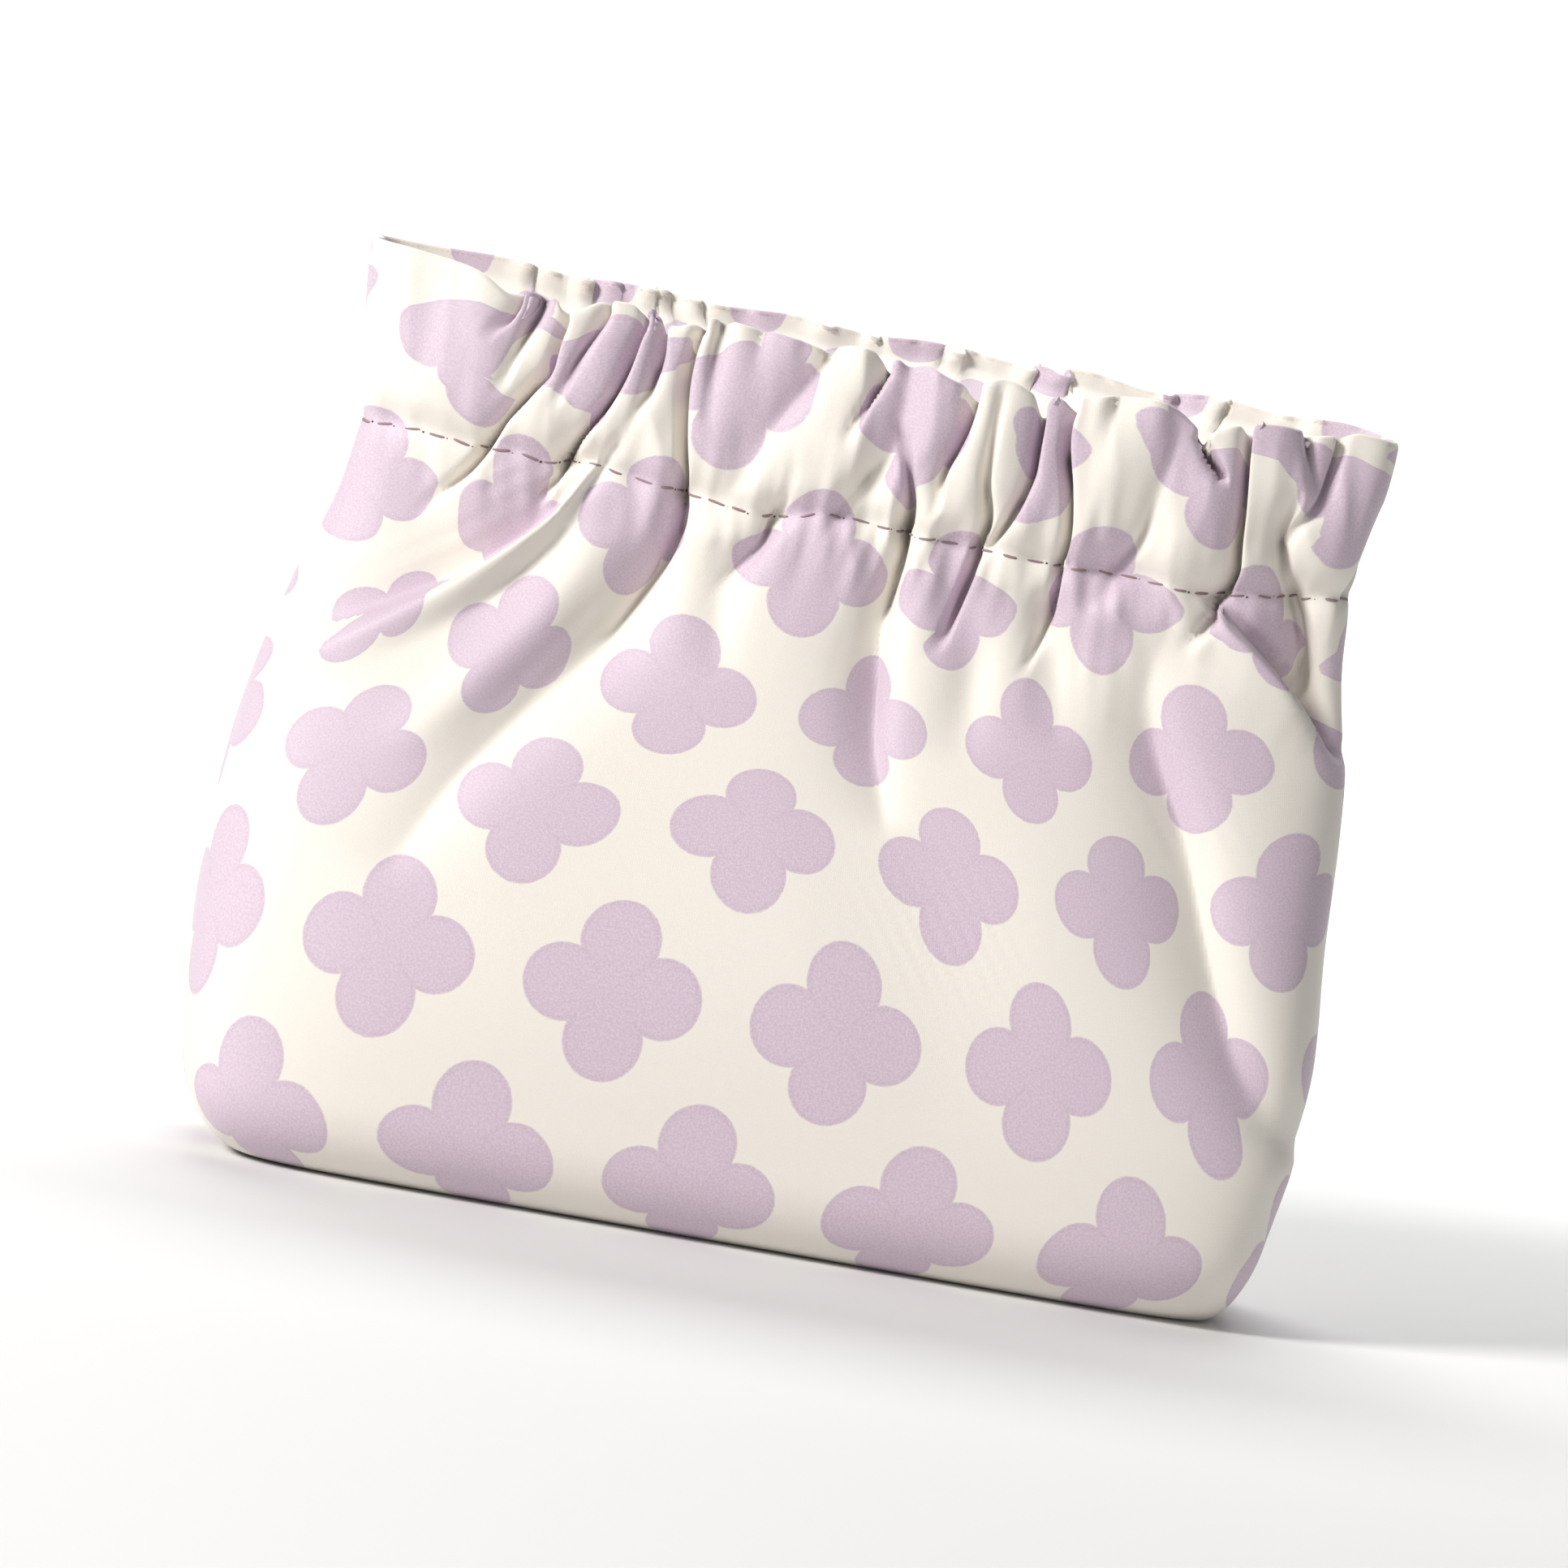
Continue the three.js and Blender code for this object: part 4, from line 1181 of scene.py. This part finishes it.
    def _weave(self, sketch: NodeSketch, shader: bpy.types.Node,
               place: bpy.types.NodeSocket, grain: bpy.types.NodeSocket) -> None:
        """Adds the threads and the fine grain as a shallow bump."""
        threads = []
        for direction in ("X", "Y"):
            wave = sketch.add("ShaderNodeTexWave", {"Vector": place, "Scale": 1.05,
                                                    "Distortion": 0.6, "Detail": 1.0},
                              bands_direction=direction)
            threads.append(wave.outputs["Fac"])
        woven = sketch.math("MULTIPLY", threads[0], threads[1])
        height = sketch.math("ADD", sketch.math("MULTIPLY", woven, 0.35), grain)
        bump = sketch.add("ShaderNodeBump", {"Strength": 0.22, "Distance": 0.00012,
                                             "Height": height})
        sketch.tree.links.new(bump.outputs[0], shader.inputs["Normal"])


@dataclass(frozen=True)
class PlainFinish:
    """A finish with one colour and a soft mottle, for the thread and the springs."""

    name: str
    colour: Colour
    roughness: float
    metallic: float = 0.0
    grain: float = 900.0

    def material(self) -> bpy.types.Material:
        """Makes the material, with a mottle on Object coordinates."""
        material, sketch, shader = new_material(self.name)
        place = sketch.add("ShaderNodeTexCoord").outputs["Object"]
        mottle = sketch.add("ShaderNodeTexNoise", {"Vector": place, "Scale": self.grain,
                                                   "Detail": 2.0}).outputs["Fac"]
        darker = tuple(0.72 * value for value in self.colour[:3]) + (1,)
        colour = sketch.blend(mottle, darker, self.colour)
        sketch.tree.links.new(colour, shader.inputs["Base Color"])
        shader.inputs["Roughness"].default_value = self.roughness
        shader.inputs["Metallic"].default_value = self.metallic
        return material


THREAD = PlainFinish("thread", (0.34, 0.235, 0.25, 1), 0.7, grain=2600.0)
# Painted shade: near-black dots where the needle holes are dark only from shade.
NEEDLE_HOLE_SHADE = PlainFinish("needle_hole_shade", (0.09, 0.06, 0.06, 1), 0.9, grain=2600.0)
SPRING_STEEL = PlainFinish("spring_steel", (0.62, 0.63, 0.65, 1), 0.35, metallic=1.0)


@dataclass
class RunningStitch:
    """The line of thread that sews the hem to the casing, seen outside on one panel.

    length, pitch: a stitch's greatest length, and from one stitch to the next.
    sides, rings: points round a tube and along it. first: where the line begins.
    hole_gap, hole_sink: how far past a stitch the painted shade of its needle hole is, and how
    deep.
    """

    panel: ClothPanel
    length: float = 2.85
    pitch: float = 3.3
    thickness: float = 0.34
    sides: int = 6
    rings: int = 9
    first: float = 2.0
    hole_gap: float = 0.1
    hole_sink: float = 0.04

    def build(self, thread: bpy.types.Material, hole_shade: bpy.types.Material) -> bpy.types.Object:
        """Makes the stitches and, between them, painted shade at the needle holes as one mesh of
        short tubes.

        Each tube follows the cloth's own line at the foot of the casing. It rises out of
        the cloth as the square root of a sine and its ends go back into the cloth.

        Args:
            thread: the stitches' material.
            hole_shade: the near-black material that paints shade into the needle holes.

        Returns:
            The stitches' object.
        """
        line, out, place = self._line()
        count = int((place[-1] - 2 * self.first) / self.pitch)
        random = np.random.default_rng(self.panel.look.seed)
        starts = self.first + self.pitch * np.arange(count) + random.uniform(-0.3, 0.3, count)
        share = np.linspace(0, 1, self.rings)
        lengths = self.length * random.uniform(0.72, 1.0, count)
        at = starts[:, None] + lengths[:, None] * share
        sink = random.uniform(0.42, 0.68, count)[:, None]
        rise = (0.75 * np.sqrt(np.sin(np.pi * share)) - sink) * self.thickness
        tilt = random.uniform(-0.45, 0.45, count)[:, None] * (share - 0.5)
        thread_half = random.uniform(0.40, 0.54, count) * self.thickness
        stitches = self._tubes(line, out, place, at, rise, tilt, thread_half)
        hole_half = random.uniform(0.03, 0.17, count)
        hole_place = (starts + lengths + self.hole_gap)[:, None]
        at = hole_place + 2 * hole_half[:, None] * (share - 0.5)
        drop = random.uniform(-0.22, 0.12, count)[:, None] + 0 * share
        hole_shades = self._tubes(line, out, place, at, 0 * rise - self.hole_sink, drop, hole_half)
        points = self.panel.to_world(np.concatenate([stitches, hole_shades]))
        return tube_object(f"{self.panel.side.word}_stitches", points,
                           [thread, hole_shade], np.repeat((0, 1), count))

    def _line(self) -> tuple[Array, Array, Array]:
        """The cloth's line under the stitches, the way it faces, and lengths along it."""
        panel = self.panel
        row = np.argmin(np.abs(panel.heights - panel.sizes.stitch_height))
        line = panel.wall[row]
        down = panel.wall[row - 2] - panel.wall[row + 2]
        flow = np.gradient(line, axis=0)
        out = np.cross(flow, down)
        out /= np.linalg.norm(out, axis=1)[:, None]
        out *= np.sign(out[:, 1].mean())
        steps = np.linalg.norm(np.diff(line, axis=0), axis=1)
        return line, out, np.concatenate([[0], np.cumsum(steps)])

    def _tubes(self, line: Array, out: Array, place: Array, at: Array, rise: Array,
               tilt: Array, radius: Array) -> Array:
        """Rings of points for tubes that lie on the line.

        Args:
            line: the line's points. out: the way that the cloth faces at each of them.
            place: lengths along the line.
            at: where the rings are, with one row for each tube.
            rise: each ring's height over the cloth.
            tilt: how far each ring lies above the line.
            radius: each tube's radius.

        Returns:
            An array of tubes, rings, sides and coordinates.
        """
        centre = np.stack([np.interp(at, place, line[:, k]) for k in range(3)], -1)
        normal = np.stack([np.interp(at, place, out[:, k]) for k in range(3)], -1)
        normal /= np.linalg.norm(normal, axis=-1, keepdims=True)
        centre = centre + normal * rise[..., None]
        centre[..., 2] += tilt
        along = np.gradient(centre, axis=1)
        along /= np.linalg.norm(along, axis=-1, keepdims=True)
        beside = np.cross(along, normal)
        turn = 2 * np.pi * np.arange(self.sides) / self.sides
        ring = (normal[:, :, None] * np.cos(turn)[:, None]
                + beside[:, :, None] * np.sin(turn)[:, None])
        share = np.linspace(0, 1, self.rings)
        taper = np.sqrt(np.clip(1 - (2 * share - 1) ** 6, 0.04, 1))
        return centre[:, :, None] + ring * (radius[:, None] * taper)[..., None, None]


def tube_object(name: str, points: Array, materials: list[bpy.types.Material],
                slots: Array) -> bpy.types.Object:
    """Makes closed tubes from rings of points.

    Args:
        name: the object's name.
        points: an array of tubes, rings, sides and coordinates, in metres.
        materials: the materials that the tubes use.
        slots: which of them each tube has.

    Returns:
        The tubes, joined in one object that is linked to the scene.
    """
    tubes, rings, sides = points.shape[:3]
    index = np.arange(tubes * rings * sides).reshape(tubes, rings, sides)
    ahead = np.roll(index, -1, axis=2)
    walls = np.stack([index[:, :-1], ahead[:, :-1], ahead[:, 1:], index[:, 1:]], -1)
    mesh = bpy.data.meshes.new(name)
    faces = walls.reshape(-1, 4).tolist()
    faces += index[:, 0, ::-1].tolist() + index[:, -1].tolist()
    mesh.from_pydata(points.reshape(-1, 3).tolist(), [], faces)
    for material in materials:
        mesh.materials.append(material)
    slots = slots.astype(np.int32)
    slot_of_face = np.concatenate([np.repeat(slots, (rings - 1) * sides), slots, slots])
    mesh.polygons.foreach_set("material_index", slot_of_face)
    mesh.shade_smooth()
    piece = bpy.data.objects.new(name, mesh)
    bpy.context.scene.collection.objects.link(piece)
    fix_normals(piece)
    return piece


def fix_normals(piece: bpy.types.Object) -> None:
    """Turns the faces of each closed body of a piece to look out."""
    body = bmesh.new()
    body.from_mesh(piece.data)
    bmesh.ops.recalc_face_normals(body, faces=body.faces)
    body.to_mesh(piece.data)
    body.free()


@dataclass
class Pouch:
    """The whole pouch: two panels, their stitches, and the springs in their casings."""

    sizes: PouchSizes

    def build(self) -> list[bpy.types.Object]:
        """Builds and dresses every piece, and says what each one rides on and replaces.

        Returns:
            The new pieces.
        """
        cloth = PrintedCloth().material()
        thread = THREAD.material()
        hole_shade = NEEDLE_HOLE_SHADE.material()
        steel = SPRING_STEEL.material()
        pieces = []
        for side, look in ((Side.FRONT, FRONT_LOOK), (Side.BACK, BACK_LOOK)):
            panel = ClothPanel(side, self.sizes, look)
            piece = panel.build()
            piece.data.materials.append(cloth)
            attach(piece, "root")
            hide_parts(f"{side.word}_panel")
            log.info("%s: %d faces", piece.name, len(piece.data.polygons))
            stitches = RunningStitch(panel).build(thread, hole_shade)
            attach(stitches, "root")
            log.info("%s: %d faces", stitches.name, len(stitches.data.polygons))
            pieces += [piece, stitches]
            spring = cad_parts[f"{side.word}_spring"]
            for slot in spring.material_slots:
                slot.material = steel
            log.info("%s: dressed", spring.name)
        return pieces


@dataclass
class Studio:
    """A pale sweep of paper, soft lights and the camera at the photograph's angle.

    target: the point that the camera looks at. frame_width: what it sees there, in metres.
    azimuth, elevation, roll: the camera's angles in degrees.
    surroundings: how bright the white all round is.
    """

    target: tuple[float, float, float] = (-0.00064, 0.0, 0.0552)
    azimuth: float = -4.0
    elevation: float = 5.5
    roll: float = 10.5
    lens: float = 200.0
    frame_width: float = 0.1913
    paper: Colour = (0.80, 0.80, 0.795, 1)
    surroundings: float = 0.10

    def build(self) -> None:
        """Sets up the camera, the sweep, the lights and the surroundings."""
        self._camera()
        self._sweep()
        self._lights()

    def _camera(self) -> None:
        """A long lens, level with the pouch and rolled, so that it stands askew."""
        data = bpy.data.cameras.new("camera")
        data.lens = self.lens
        data.sensor_width = 36.0
        data.clip_start = 0.01
        camera = bpy.data.objects.new("camera", data)
        bpy.context.scene.collection.objects.link(camera)
        distance = self.frame_width * self.lens / data.sensor_width
        azimuth, elevation = math.radians(self.azimuth), math.radians(self.elevation)
        back = Vector((math.sin(azimuth) * math.cos(elevation),
                       -math.cos(azimuth) * math.cos(elevation), math.sin(elevation)))
        turn = (-back).to_track_quat("-Z", "Y").to_matrix().to_4x4()
        roll = Matrix.Rotation(math.radians(self.roll), 4, "Z")
        camera.matrix_world = (Matrix.Translation(Vector(self.target) + back * distance)
                               @ turn @ roll)
        bpy.context.scene.camera = camera

    def _sweep(self) -> None:
        """A floor that curves up behind the pouch: a quarter circle between two planes."""
        radius, depth, height, half = 0.5, 0.9, 1.8, 2.2
        turn = np.linspace(0, math.pi / 2, 24)
        y = np.concatenate([[-1.6], depth + radius * np.sin(turn), [depth + radius]])
        z = np.concatenate([[0.0], radius * (1 - np.cos(turn)), [height]])
        x = np.array([-half, half])
        points = np.stack([np.broadcast_to(x, (len(y), 2)),
                           np.broadcast_to(y[:, None], (len(y), 2)),
                           np.broadcast_to(z[:, None], (len(y), 2))], -1)
        flat = np.stack([points[..., 0], points[..., 1]], -1)
        sweep = grid_object("sweep", points, flat)
        material, _, shader = new_material("paper")
        shader.inputs["Base Color"].default_value = self.paper
        shader.inputs["Roughness"].default_value = 0.9
        sweep.data.materials.append(material)

    def _lights(self) -> None:
        """A key light from the upper left, a fill from the front and a light on the sweep."""
        rows = (
            ("key", (-0.79, -0.60, 0.62), 0.26, 13.2, (1.0, 0.985, 0.97)),
            ("fill", (0.3, -1.0, 0.35), 0.8, 1.7, (0.98, 0.985, 1.0)),
            ("backdrop", (0.0, 0.55, 0.9), 0.8, 14.0, (1.0, 1.0, 1.0)),
        )
        for name, place, size, power, colour in rows:
            data = bpy.data.lights.new(name, "AREA")
            data.size = size
            data.energy = power
            data.color = colour
            light = bpy.data.objects.new(name, data)
            bpy.context.scene.collection.objects.link(light)
            aim = Vector((0.0, 0.9, 0.35)) if name == "backdrop" else Vector((0, 0, 0.055))
            turn = (aim - Vector(place)).to_track_quat("-Z", "Y").to_matrix().to_4x4()
            light.matrix_world = Matrix.Translation(place) @ turn
        world = bpy.data.worlds.new("surroundings")
        world.use_nodes = True
        background = world.node_tree.nodes["Background"]
        background.inputs["Color"].default_value = (1.0, 1.0, 1.0, 1)
        background.inputs["Strength"].default_value = self.surroundings
        bpy.context.scene.world = world
        bpy.context.scene.view_settings.view_transform = "Standard"


def main() -> None:
    """Builds the pouch in its studio."""
    logging.basicConfig(level=logging.INFO, format="%(message)s")
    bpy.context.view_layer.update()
    Studio().build()
    Pouch(PouchSizes()).build()
    bpy.context.view_layer.update()


if __name__ == "__main__":
    main()
